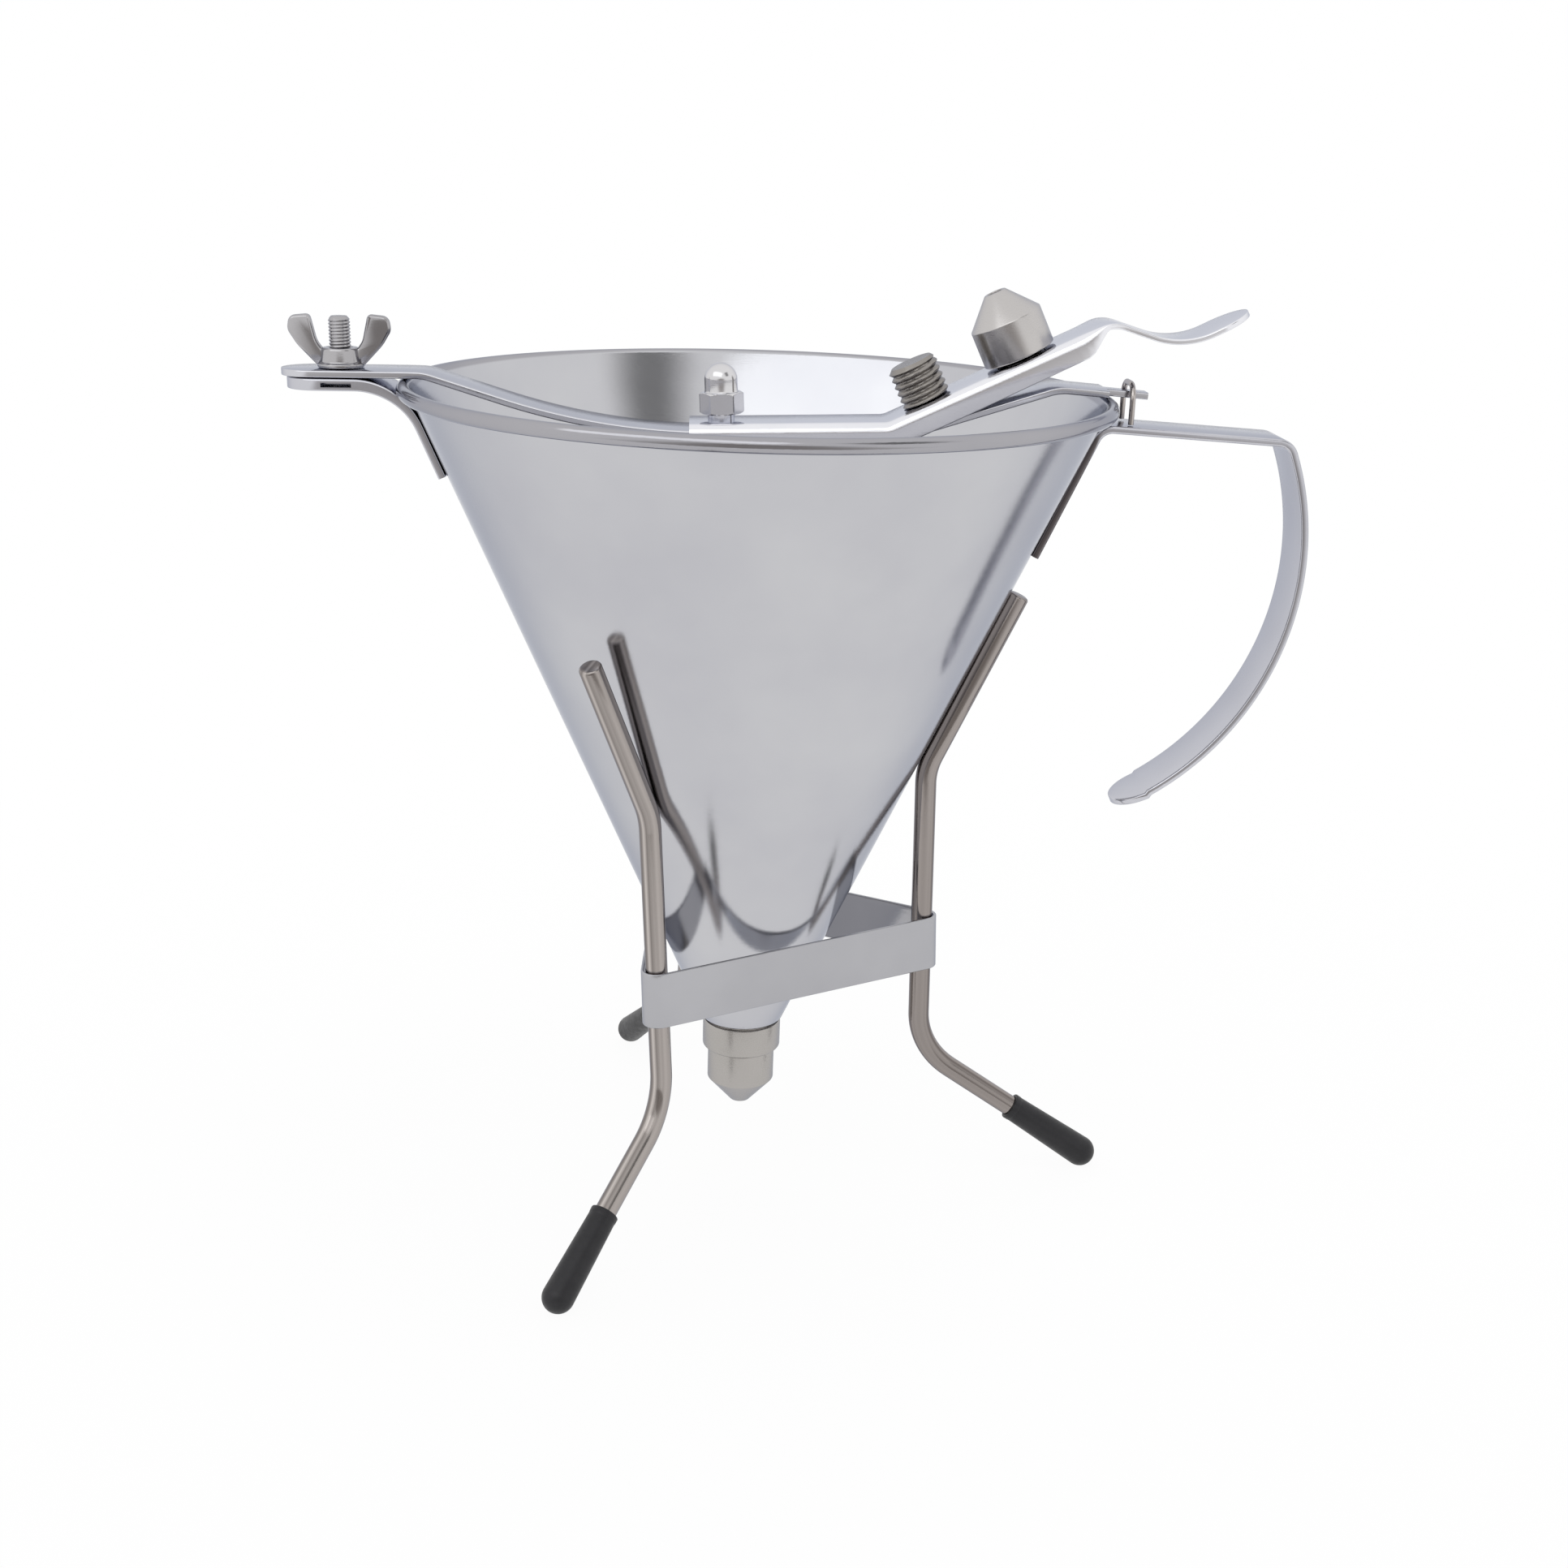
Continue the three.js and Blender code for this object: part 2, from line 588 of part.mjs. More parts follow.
// Hub: neck in the cone's mouth with the valve seat, collar below, and the threaded spigot
function outletHub() {
  const neck = wallRadius(-CONE_HEIGHT) - WALL_RUN - GAP;
  const top = -CONE_HEIGHT + HUB_NECK_HEIGHT;
  const seatDepth = HUB_SEAT_RADIUS - HUB_BORE_RADIUS;
  const root = THREAD_RADIUS - THREAD_DEPTH;
  const body = turnedRing([
    [HUB_BORE_RADIUS, COLLAR_BOTTOM - THREAD_DEPTH],
    [root, COLLAR_BOTTOM - THREAD_DEPTH],
    [root, COLLAR_BOTTOM],
    [COLLAR_RADIUS - COLLAR_CHAMFER, COLLAR_BOTTOM],
    [COLLAR_RADIUS, COLLAR_BOTTOM + COLLAR_CHAMFER],
    [COLLAR_RADIUS, COLLAR_TOP],
    [neck, COLLAR_TOP],
    [neck, top],
    [HUB_SEAT_RADIUS, top],
    [HUB_BORE_RADIUS, top - seatDepth],
  ], 32);
  const spigot = threadedBody(COLLAR_BOTTOM - SPIGOT_LENGTH, COLLAR_BOTTOM);
  const bore = cylinder(HUB_BORE_RADIUS, COLLAR_BOTTOM - SPIGOT_LENGTH - OVERRUN, top - seatDepth, 32);
  return cut(join(body, spigot), bore);
}

// Nozzle with its mouth at z = 0 and its tip below; it screws over a thread
function nozzle() {
  const bore = THREAD_RADIUS + GAP;
  const depth = SPIGOT_LENGTH + GAP;
  return turnedRing([
    [bore, 0],
    [NOZZLE_RADIUS, 0],
    [NOZZLE_RADIUS, -NOZZLE_BODY],
    [NOZZLE_TIP_RADIUS, -NOZZLE_BODY - NOZZLE_CONE],
    [NOZZLE_HOLE_RADIUS, -NOZZLE_BODY - NOZZLE_CONE],
    [NOZZLE_HOLE_RADIUS, -NOZZLE_BODY - NOZZLE_CONE / 2],
    [bore, -depth],
  ], 32);
}

// Strap line: the middle of a strip that lies on the cone's outside
function strapMiddle(z) {
  return wallRadius(z) + (GAP + STRIP / 2) / Math.cos(CONE_HALF_ANGLE);
}

function handle() {
  const armZ = -HANDLE_ARM_DROP;
  const gripCentre = new THREE.Vector2(GRIP_CENTRE_X, -GRIP_CENTRE_DROP);
  const gripPoint = (angle) => new THREE.Vector2(Math.cos(angle), Math.sin(angle))
    .multiplyScalar(GRIP_RADIUS).add(gripCentre);
  const start = gripPoint(GRIP_START);
  const root = [strapMiddle(armZ), armZ];
  const fall = Math.tan(HANDLE_ARM_FALL);
  const lean = Math.tan(GRIP_START);
  // Where the arm's line meets the line that touches the grip's arc at its start
  const rise = (root[1] - fall * (start.x - root[0]) - start.y) / (1 - fall * lean);
  const knee = [start.x - rise * lean, start.y + rise];
  const path = bentPath([
    [strapMiddle(-HANDLE_STRAP_DEPTH), -HANDLE_STRAP_DEPTH],
    [...root, HANDLE_ROOT_BEND],
    [...knee, GRIP_BEND],
    [start.x, start.y],
  ], 5);
  const gripSteps = 18;
  for (let s = 1; s <= gripSteps; s += 1) {
    path.push(gripPoint(GRIP_START + (GRIP_END - GRIP_START) * (s / gripSteps)));
  }
  const halfWidth = STRIP_WIDTH / 2;
  return sweep(withRoundEnd(path, halfWidth), (along, total) => (
    stripSection(roundEndHalfWidth(total - along, halfWidth), STRIP)));
}

const BAR_BOTTOM = BEAD_RADIUS + GAP;
const BAR_LOW_TOP = BAR_BOTTOM - BAR_DIP + BAR;
const BAR_FALL_START = BEAD_CENTRE;

// Height of the crossbar's underside at a distance out along its left end
function leftUnderside(reach) {
  return BAR_BOTTOM - (reach - BAR_FALL_START) * Math.tan(BAR_LEFT_FALL);
}

function crossbar() {
  const mid = BAR / 2;
  const high = BAR_BOTTOM + mid;
  const low = high - BAR_DIP;
  const leftDip = -BAR_LEFT_CREST + BAR_DIP / Math.tan(BAR_LEFT_SLOPE);
  // The right end falls over the bead to the tongue's end, from a crest inside the rim
  const [rise, fall] = [Math.tan(BAR_RIGHT_SLOPE), Math.tan(BAR_RIGHT_FALL)];
  const rightHeight = (x) => high - (x - BEAD_CENTRE) * fall;
  const rightCrest = (BAR_DIP + BEAD_CENTRE * fall + BAR_RIGHT_FOOT * rise) / (rise + fall);
  const body = bentPath([
    [TONGUE_END, rightHeight(TONGUE_END)],
    [rightCrest, rightHeight(rightCrest), BAR_CREST_BEND],
    [BAR_RIGHT_FOOT, low, BAR_RIGHT_FOOT_RADIUS],
    [leftDip, low, BAR_LEFT_SAG_RADIUS],
    [-BAR_LEFT_CREST, high, BAR_CREST_BEND],
    [-BAR_FALL_START, high, BAR_CREST_BEND],
    [-BAR_LEFT_END, leftUnderside(BAR_LEFT_END) + mid],
  ], 8);
  const shoulder = new THREE.Vector2(BAR_SHOULDER, rightHeight(BAR_SHOULDER));
  const neck = new THREE.Vector2(BAR_SHOULDER + GAP, rightHeight(BAR_SHOULDER + GAP));
  body.splice(1, 0, neck, shoulder);
  const halfWidth = BAR_WIDTH / 2;
  const tongue = TONGUE_END - BAR_SHOULDER - GAP / 2;
  const strip = sweep(withRoundEnd(body, halfWidth), (along, total) => (
    stripSection(along < tongue ? TONGUE_WIDTH / 2 : roundEndHalfWidth(total - along, halfWidth), BAR)));
  const rodHole = cylinder(PISTON_RADIUS + PISTON_SLOT_SLACK, low - OVERRUN, high + OVERRUN, 20);
  rodHole.translate(-PISTON_OFFSET, 0, 0);
  const studHole = cylinder(STUD_RADIUS + GAP, -OVERRUN, BAR + OVERRUN, 20);
  placeOnClamp(studHole, 0);
  return cut(strip, rodHole, studHole);
}

// Moves a geometry made about Z onto the clamp's axis, its z = 0 at the bar's underside
function placeOnClamp(geometry, lift) {
  geometry.translate(0, 0, lift);
  geometry.rotateY(-BAR_LEFT_FALL);
  geometry.translate(-CLAMP_X, 0, leftUnderside(CLAMP_X));
}

// Tab: a strap on the cone, bent out under the crossbar, where it is thicker and holds the stud's foot
function tabBracket() {
  const plate = (reach) => leftUnderside(reach) - GAP - TAB_THICKNESS / 2;
  const corner = strapMiddle(plate(BEAD_CENTRE));
  const end = BAR_LEFT_END - TAB_END_INSET;
  const path = bentPath([
    [-strapMiddle(-TAB_STRAP_DEPTH), -TAB_STRAP_DEPTH],
    [-corner, plate(corner), TAB_BEND],
    [-end, plate(end)],
  ], 8);
  const halfWidth = STRIP_WIDTH / 2;
  const strapRun = path[0].distanceTo(path[1]);
  const strip = sweep(withRoundEnd(path, halfWidth), (along, total) => {
    const growth = THREE.MathUtils.smoothstep(along, strapRun, strapRun + TAB_BEND);
    const thickness = STRIP + (TAB_THICKNESS - STRIP) * growth;
    return stripSection(roundEndHalfWidth(total - along, halfWidth), thickness);
  });
  const half = STUD_FOOT_LENGTH / 2 + GAP;
  const slotTop = -GAP - TAB_SLOT_LEDGE;
  const slot = box(-half, half, -STRIP_WIDTH, STRIP_WIDTH, slotTop - STUD_FOOT - 2 * GAP, slotTop);
  const hole = cylinder(STUD_RADIUS + GAP, slotTop - GAP, OVERRUN, 20);
  placeOnClamp(slot, 0);
  placeOnClamp(hole, 0);
  return cut(strip, slot, hole);
}

// Stud: its flat foot lies in the tab's slot and its shank stands through the crossbar
function clampStud() {
  const half = STUD_FOOT_LENGTH / 2;
  const footTop = -TAB_SLOT_LEDGE - 2 * GAP;
  const foot = box(-half, half, -STUD_FOOT_WIDTH / 2, STUD_FOOT_WIDTH / 2, footTop - STUD_FOOT, footTop);
  const top = BAR + STUD_REACH;
  const shank = turnedBody([
    [0, footTop - STUD_FOOT / 2],
    [STUD_RADIUS, footTop - STUD_FOOT / 2],
    [STUD_RADIUS, top - STUD_CHAMFER],
    [STUD_RADIUS - STUD_CHAMFER, top],
    [0, top],
  ], 20);
  const stud = join(foot, shank);
  placeOnClamp(stud, 0);
  return stud;
}

// One wing as an outline in the XZ plane, rising outward from the hub
function wing() {
  const reach = WING_SPAN / 2;
  const outlineShares = [
    [0.26, 0.04], [0.45, 0.04], [0.62, 0.17], [0.83, 0.41], [0.95, 0.58], [1, 0.73], [0.98, 0.84],
    [0.91, 0.94], [0.78, 0.99], [0.58, 1], [0.51, 0.9], [0.43, 0.5], [0.36, 0.35], [0.26, 0.35],
  ];
  const shape = new THREE.Shape();
  outlineShares.forEach(([x, z], i) => {
    if (i === 0) shape.moveTo(reach * x, WING_HEIGHT * z);
    else shape.lineTo(reach * x, WING_HEIGHT * z);
  });
  shape.closePath();
  const geometry = new THREE.ExtrudeGeometry(shape, { depth: WING_THICKNESS, bevelEnabled: false });
  geometry.rotateX(Math.PI / 2);
  geometry.translate(0, WING_THICKNESS / 2, 0);
  return closed(geometry);
}

function wingNut() {
  const bore = STUD_RADIUS + GAP;
  const hub = turnedBody([
    [0, 0],
    [WING_HUB_RADIUS, 0],
    [WING_HUB_RADIUS, WING_HUB_FLANGE],
    [WING_HUB_TOP_RADIUS, WING_HUB_HEIGHT],
    [0, WING_HUB_HEIGHT],
  ], 24);
  const left = wing();
  left.rotateZ(Math.PI);
  const nut = cut(join(hub, wing(), left), cylinder(bore, -OVERRUN, WING_HEIGHT, 20));
  placeOnClamp(nut, BAR + GAP);
  return nut;
}

// Wire eye: an inverted U that stands on the handle's arm, over the tongue
function wireEye() {
  const top = BAR_BOTTOM + BAR + EYE_SLACK + EYE_WIRE_RADIUS;
  const armTop = -HANDLE_ARM_DROP + STRIP / 2 - (EYE_X - WALL_TOP_RADIUS) * Math.tan(HANDLE_ARM_FALL);
  const foot = armTop + GAP;
  const path = bentPath([
    [-EYE_HALF_WIDTH, foot],
    [-EYE_HALF_WIDTH, top, EYE_BEND],
    [EYE_HALF_WIDTH, top, EYE_BEND],
    [EYE_HALF_WIDTH, foot],
  ], 6);
  const eye = sweep(path, () => roundSection(EYE_WIRE_RADIUS, 10));
  eye.rotateZ(Math.PI / 2);
  eye.translate(EYE_X, 0, 0);
  return eye;
}

// Lever, in its own frame: origin on the fulcrum pin's axis, flat part along X

const LEVER_UNDER = FULCRUM_RADIUS + GAP;

function leverSection(halfWidth, flange) {
  const inner = LEVER_FOLD - SHEET;
  const steps = 3;
  const top = LEVER_UNDER + SHEET;
  const outerArc = [];
  const innerArc = [];
  for (let s = 0; s <= steps; s += 1) {
    const angle = (s / steps) * (Math.PI / 2);
    const [c, d] = [Math.cos(angle), Math.sin(angle)];
    outerArc.push([halfWidth - LEVER_FOLD + LEVER_FOLD * c, top - LEVER_FOLD + LEVER_FOLD * d]);
    innerArc.push([halfWidth - LEVER_FOLD + inner * c, top - LEVER_FOLD + inner * d]);
  }
  const right = [[halfWidth, top - flange], ...outerArc];
  const rightInner = [[halfWidth - SHEET, top - flange], ...innerArc].reverse();
  const mirror = (points) => points.map(([u, v]) => [-u, v]).reverse();
  return [...right, ...mirror(right), ...mirror(rightInner), ...rightInner];
}

// Corners of the lever's centre line: flat, ramp, crest, trough and the upturned end
function leverCorners() {
  const bend = [LEVER_BEND_X - FULCRUM_X, 0];
  const step = (from, length, angle) => [from[0] + length * Math.cos(angle), from[1] + length * Math.sin(angle)];
  const crest = step(bend, LEVER_RAMP, LEVER_RISE);
  const trough = step(crest, THUMB_FALL_LENGTH, -THUMB_FALL);
  const end = step(trough, THUMB_RISE_LENGTH, THUMB_RISE);
  return { bend, crest, trough, end, step };
}

function lever() {
  const { bend, crest, trough, end, step } = leverCorners();
  const flangeEnd = step(bend, LEVER_RAMP - THUMB_CREST_RADIUS * 0.6, LEVER_RISE);
  const channelPath = bentPath([
    [-LEVER_LEFT_END - FULCRUM_X, 0],
    [...bend, LEVER_BEND_RADIUS],
    flangeEnd,
  ], 4);
  const tailStart = step(bend, LEVER_RAMP * 0.4, LEVER_RISE);
  channelPath.splice(channelPath.length - 1, 0, new THREE.Vector2(...tailStart));
  const channel = sweep(channelPath, (along, total) => {
    const tail = Math.max(0, 1 - (total - along) / (LEVER_RAMP * 0.6));
    return leverSection(LEVER_WIDTH / 2, LEVER_FLANGE + (LEVER_FLANGE_END - LEVER_FLANGE) * tail);
  });
  const overlap = step(bend, LEVER_RAMP - 2 * THUMB_CREST_RADIUS, LEVER_RISE);
  const plate = bentPath([overlap, [...crest, THUMB_CREST_RADIUS], [...trough, THUMB_TROUGH_RADIUS], end], 6);
  const middle = LEVER_UNDER + SHEET / 2;
  const halfWidth = TAB_WIDTH / 2;
  const tab = sweep(withRoundEnd(plate, halfWidth), (along, total) => (
    stripSection(roundEndHalfWidth(total - along, halfWidth), SHEET).map(([u, v]) => [u, v + middle])));
  const hole = cylinder(PISTON_RADIUS + PISTON_SLOT_SLACK, -OVERRUN, LEVER_UNDER + SHEET + OVERRUN, 20);
  hole.translate(-PISTON_OFFSET - FULCRUM_X - LEVER_SLOT_SHIFT, 0, 0);
  return cut(join(channel, tab), hole);
}

// Places a piece made about Z on the lever's ramp, square to it
function onRamp(along, lift) {
  const { bend, step } = leverCorners();
  const [x, z] = step(bend, along, LEVER_RISE);
  const holder = new THREE.Group();
  holder.rotation.y = -LEVER_RISE;
  const height = LEVER_UNDER + SHEET + lift;
  holder.position.set(x - height * Math.sin(LEVER_RISE), 0, z + height * Math.cos(LEVER_RISE));
  return holder;
}

function makeLever() {
  const group = new THREE.Group();
  group.position.set(FULCRUM_X, 0, BAR_LOW_TOP + GAP + FULCRUM_RADIUS);
  group.rotation.y = -LEVER_REST_TILT;
  group.add(mesh('lever', lever(), POLISHED));
  const bare = onRamp(BARE_STUD_ALONG, GAP);
  bare.add(mesh('bare_nozzle_stud', threadedBody(0, STUD_LENGTH), SATIN));
  const carrying = onRamp(SPARE_STUD_ALONG, GAP);
  carrying.add(mesh('spare_nozzle_stud', threadedBody(0, SPIGOT_LENGTH - SPARE_SLACK), SATIN));
  const spare = nozzle();
  spare.rotateX(Math.PI);
  spare.translate(0, 0, SPARE_SLACK);
  carrying.add(mesh('spare_nozzle', spare, SATIN));
  group.add(bare, carrying);
  return group;
}

function fulcrumPin() {
  const pin = cylinder(FULCRUM_RADIUS, -FULCRUM_LENGTH / 2, FULCRUM_LENGTH / 2, 12);
  pin.rotateX(Math.PI / 2);
  pin.translate(FULCRUM_X, 0, BAR_LOW_TOP + GAP + FULCRUM_RADIUS);
  return pin;
}

// Piston, in its own frame: origin at the valve seat, +Z along the leaning rod

const SEAT_Z = -CONE_HEIGHT + HUB_NECK_HEIGHT;
const BAR_UNDER_Z = BAR_LOW_TOP - BAR - SEAT_Z;
const PISTON_LEAN = Math.atan2(PISTON_OFFSET, BAR_UNDER_Z);
const LEVER_TOP_AT_ROD = BAR_LOW_TOP + GAP + FULCRUM_RADIUS
  + (LEVER_UNDER + SHEET) * Math.cos(LEVER_REST_TILT) - (FULCRUM_X + PISTON_OFFSET) * Math.sin(LEVER_REST_TILT);
const NUT_BOTTOM = (LEVER_TOP_AT_ROD + NUT_HOVER - SEAT_Z) / Math.cos(PISTON_LEAN);
const PLUG_BOTTOM = GAP - PLUG_CONE / 2;

function valvePlug() {
  const top = PLUG_BOTTOM + PLUG_HEIGHT;
  const shoulder = PLUG_BOTTOM + PLUG_CONE;
  const groove = shoulder + SEAL_RADIUS + GAP;
  const plug = turnedBody([
    [0, PLUG_BOTTOM],
    [PLUG_TIP_RADIUS, PLUG_BOTTOM],
    [PLUG_RADIUS, shoulder],
    [PLUG_RADIUS - SEAL_RADIUS - GAP, shoulder],
    [PLUG_RADIUS - SEAL_RADIUS - GAP, groove + SEAL_RADIUS + GAP],
    [PLUG_RADIUS, groove + SEAL_RADIUS + GAP],
    [PISTON_RADIUS + 2 * GAP + WALL, top],
    [0, top],
  ], 28);
  return cut(plug, cylinder(PISTON_RADIUS + GAP, top - PLUG_BORE, top + OVERRUN, 20));
}

function plugSeal() {
  const centre = PLUG_RADIUS;
  const z = PLUG_BOTTOM + PLUG_CONE + SEAL_RADIUS + GAP;
  const profile = roundSection(SEAL_RADIUS, 8).map(([u, v]) => [centre + u, z + v]);
  return turnedRing(profile, 28);
}

function pistonRod() {
  const bottom = PLUG_BOTTOM + PLUG_HEIGHT - PLUG_BORE + GAP;
  return cylinder(PISTON_RADIUS, bottom, NUT_BOTTOM + NUT_BORE - GAP, 20);
}

function acornNut() {
  const corner = NUT_FLATS / Math.sqrt(3);
  const hex = turnedBody([[0, 0], [corner, 0], [corner, NUT_HEX], [0, NUT_HEX]], 6);
  hex.rotateZ(Math.PI / 6);
  const dome = [[0, NUT_HEX / 2], [NUT_DOME_RADIUS, NUT_HEX / 2], [NUT_DOME_RADIUS, NUT_HEX + NUT_DOME - NUT_DOME_RADIUS]];
  const steps = 6;
  for (let s = 1; s < steps; s += 1) {
    const angle = (s / steps) * (Math.PI / 2);
    dome.push([NUT_DOME_RADIUS * Math.cos(angle), NUT_HEX + NUT_DOME + NUT_DOME_RADIUS * (Math.sin(angle) - 1)]);
  }
  dome.push([0, NUT_HEX + NUT_DOME]);
  const bore = cylinder(PISTON_RADIUS + GAP, -OVERRUN, NUT_BORE, 20);
  const nut = cut(join(hex, turnedBody(dome, 24)), bore);
  nut.translate(0, 0, NUT_BOTTOM);
  return nut;
}

const SPRING_TOP = BAR_UNDER_Z - GAP - SPRING_WIRE_RADIUS;

function springCollar() {
  const top = SPRING_TOP - SPRING_LENGTH - GAP - SPRING_WIRE_RADIUS;
  const inner = PISTON_RADIUS + GAP;
  return turnedRing([
    [inner, top - SPRING_COLLAR],
    [SPRING_COLLAR_RADIUS, top - SPRING_COLLAR],
    [SPRING_COLLAR_RADIUS, top],
    [inner, top],
  ], 24);
}

// Points of the spring's wire, evenly wound between its two seats
function springPoints(stepsPerCurl) {
  const points = [];
  const steps = SPRING_CURLS * stepsPerCurl;
  for (let s = 0; s <= steps; s += 1) {
    const angle = (s / stepsPerCurl) * 2 * Math.PI;
    const z = SPRING_TOP - SPRING_LENGTH * (s / steps);
    points.push(new THREE.Vector3(SPRING_RADIUS * Math.cos(angle), SPRING_RADIUS * Math.sin(angle), z));
  }
  return points;
}

function returnSpring() {
  const points = springPoints(8);
  const sides = 5;
  const positions = [];
  const index = [];
  const up = new THREE.Vector3(0, 0, 1);
  points.forEach((point, i) => {
    const out = new THREE.Vector3(point.x, point.y, 0).normalize();
    for (let k = 0; k < sides; k += 1) {
      const angle = (k / sides) * 2 * Math.PI;
      const corner = point.clone()
        .addScaledVector(out, SPRING_WIRE_RADIUS * Math.cos(angle))
        .addScaledVector(up, SPRING_WIRE_RADIUS * Math.sin(angle));
      positions.push(corner.x, corner.y, corner.z);
      if (i + 1 < points.length) {
        const a = i * sides + k;
        const b = i * sides + ((k + 1) % sides);
        index.push(a, b, b + sides, a, b + sides, a + sides);
      }
    }
  });
  const last = (points.length - 1) * sides;
  for (let k = 1; k + 1 < sides; k += 1) index.push(0, k + 1, k, last, last + k, last + k + 1);
  const geometry = new THREE.BufferGeometry();
  geometry.setAttribute('position', new THREE.Float32BufferAttribute(positions, 3));
  geometry.setIndex(index);
  return closed(geometry);
}

// Least gap between the spring's turns, measured on its points and printed
function springGap() {
  const perCurl = 24;
  const points = springPoints(perCurl);
  let least = Infinity;
  points.forEach((a, i) => {
    for (let j = i + perCurl / 2; j < points.length; j += 1) least = Math.min(least, a.distanceTo(points[j]));
  });
  return least - 2 * SPRING_WIRE_RADIUS;
}
console.log(`return_spring: least gap to itself ${springGap().toFixed(2)} mm`);

function makePiston() {
  const group = new THREE.Group();
  group.position.set(0, 0, SEAT_Z);
  group.rotation.y = -PISTON_LEAN;
  group.add(mesh('piston_rod', pistonRod(), ROD_STEEL));
  group.add(mesh('acorn_nut', acornNut(), ROD_STEEL));
  group.add(mesh('valve_plug', valvePlug(), SATIN));
  group.add(mesh('plug_seal', plugSeal(), RUBBER));
  group.add(mesh('spring_collar', springCollar(), SATIN));
  group.add(mesh('return_spring', returnSpring(), ROD_STEEL));
  return group;
}

function makeFunnel() {
  const group = new THREE.Group();
  group.add(mesh('funnel_cone', funnelCone(), POLISHED));
  group.add(mesh('outlet_hub', outletHub(), SATIN));
  const outlet = nozzle();
  outlet.translate(0, 0, COLLAR_BOTTOM - GAP);
  group.add(mesh('outlet_nozzle', outlet, SATIN));
  group.add(mesh('handle', handle(), POLISHED));
  group.add(mesh('wire_eye', wireEye(), ROD_STEEL));
  group.add(mesh('tab_bracket', tabBracket(), POLISHED));
  group.add(mesh('clamp_stud', clampStud(), ROD_STEEL));
  group.add(mesh('wing_nut', wingNut(), ROD_STEEL));
  group.add(mesh('crossbar', crossbar(), POLISHED));
  group.add(mesh('fulcrum_pin', fulcrumPin(), SATIN));
  group.add(makeLever());
  group.add(makePiston());
  return group;
}

// The funnel's place in the stand, where its wall touches all three rods
function seatFunnel(funnel) {
  const rim = wallTipInStand().addScaledVector(leanAxis(), WALL_TOP_RADIUS / CONE_SLOPE);
  const towardsLeg = new THREE.Group();
  towardsLeg.rotation.z = LEG_TURN;
  const leaning = new THREE.Group();
  leaning.position.copy(rim);
  leaning.rotation.y = FUNNEL_LEAN;
  funnel.rotation.z = -LEG_TURN;
  leaning.add(funnel);
  towardsLeg.add(leaning);
  return towardsLeg;
}

// The whole object, moved so that the origin lies under the middle of its outline
const standing = new THREE.Group();
standing.add(makeStand());
standing.add(seatFunnel(makeFunnel()));
const extent = new THREE.Box3().setFromObject(standing, true);
const middleOf = (low, high) => (low + high) / 2;
standing.position.x = -middleOf(extent.min.x, extent.max.x);
standing.position.y = -middleOf(extent.min.y, extent.max.y);
standing.position.z = -extent.min.z;

const pistonFunnel = new THREE.Group();
pistonFunnel.add(standing);

export default pistonFunnel;
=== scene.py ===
import math

import bmesh
import bpy
from mathutils import Matrix, Vector

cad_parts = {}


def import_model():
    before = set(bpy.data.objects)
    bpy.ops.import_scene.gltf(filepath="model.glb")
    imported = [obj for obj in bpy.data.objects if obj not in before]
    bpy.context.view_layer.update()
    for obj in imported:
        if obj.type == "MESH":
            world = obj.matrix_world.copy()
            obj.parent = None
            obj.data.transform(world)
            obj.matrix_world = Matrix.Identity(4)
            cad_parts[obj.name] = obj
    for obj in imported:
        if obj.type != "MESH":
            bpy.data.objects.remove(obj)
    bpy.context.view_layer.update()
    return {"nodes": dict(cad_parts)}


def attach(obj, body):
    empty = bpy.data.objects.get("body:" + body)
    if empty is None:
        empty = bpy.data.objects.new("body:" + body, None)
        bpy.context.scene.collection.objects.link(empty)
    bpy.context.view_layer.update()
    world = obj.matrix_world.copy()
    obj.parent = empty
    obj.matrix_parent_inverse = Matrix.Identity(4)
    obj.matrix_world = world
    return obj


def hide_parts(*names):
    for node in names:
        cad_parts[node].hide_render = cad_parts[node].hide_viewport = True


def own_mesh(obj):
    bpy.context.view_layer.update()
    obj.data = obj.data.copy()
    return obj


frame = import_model()

PI = math.pi
MM = 0.001


def rad(degrees):
    return degrees * PI / 180


# The same sizes as in the part's source, in millimetres
GAP = 0.25
SHIFT = Vector((-15.4878, 0.2939, 0))
RIM_RADIUS = 100
BEAD_RADIUS = 2
WALL = 1
CONE_HALF_ANGLE = rad(24.04)
CONE_HEIGHT = 189.5
ROD_RADIUS = 3.15
LEG_TURN = rad(-4.56)
LEG_RADIUS = 51.6
LEG_HEADINGS = [leg / 3 * 2 * PI for leg in range(3)]
UPPER_BEND_HEIGHT = 129.9
UPPER_BEND_RADIUS = 20
UPPER_ARM_LENGTH = 56.55
UPPER_ARM_EXTRA = (1.8, 0, -3)
LOWER_BEND_RADIAL = 49.9
LOWER_BEND_HEIGHT = 39.6
LOWER_BEND_RADIUS = 22
FOOT_REACH = 100.9
BAND_BOTTOM = 67.1
BAND_HEIGHT = 16.6
BAND_SHEET = 1
BAND_BOW = 1.2
CAP_MOUTH_RADIUS = 4
CAP_TIP_RADIUS = 4.65
CAP_SLEEVE = 27
CAP_FLOOR = 3
CAP_FLAT = 0.45
FUNNEL_LEAN = rad(2.45)
HUB_NECK_HEIGHT = 3.6
HUB_SEAT_RADIUS = 8.4
HUB_BORE_RADIUS = 4.6
COLLAR_GAP = 1
COLLAR_RADIUS = 11.9
COLLAR_HEIGHT = 9
THREAD_RADIUS = 7
THREAD_DEPTH = 0.75
THREAD_PITCH = 2
SPIGOT_LENGTH = 7
NOZZLE_RADIUS = 10.2
NOZZLE_BODY = 10.6
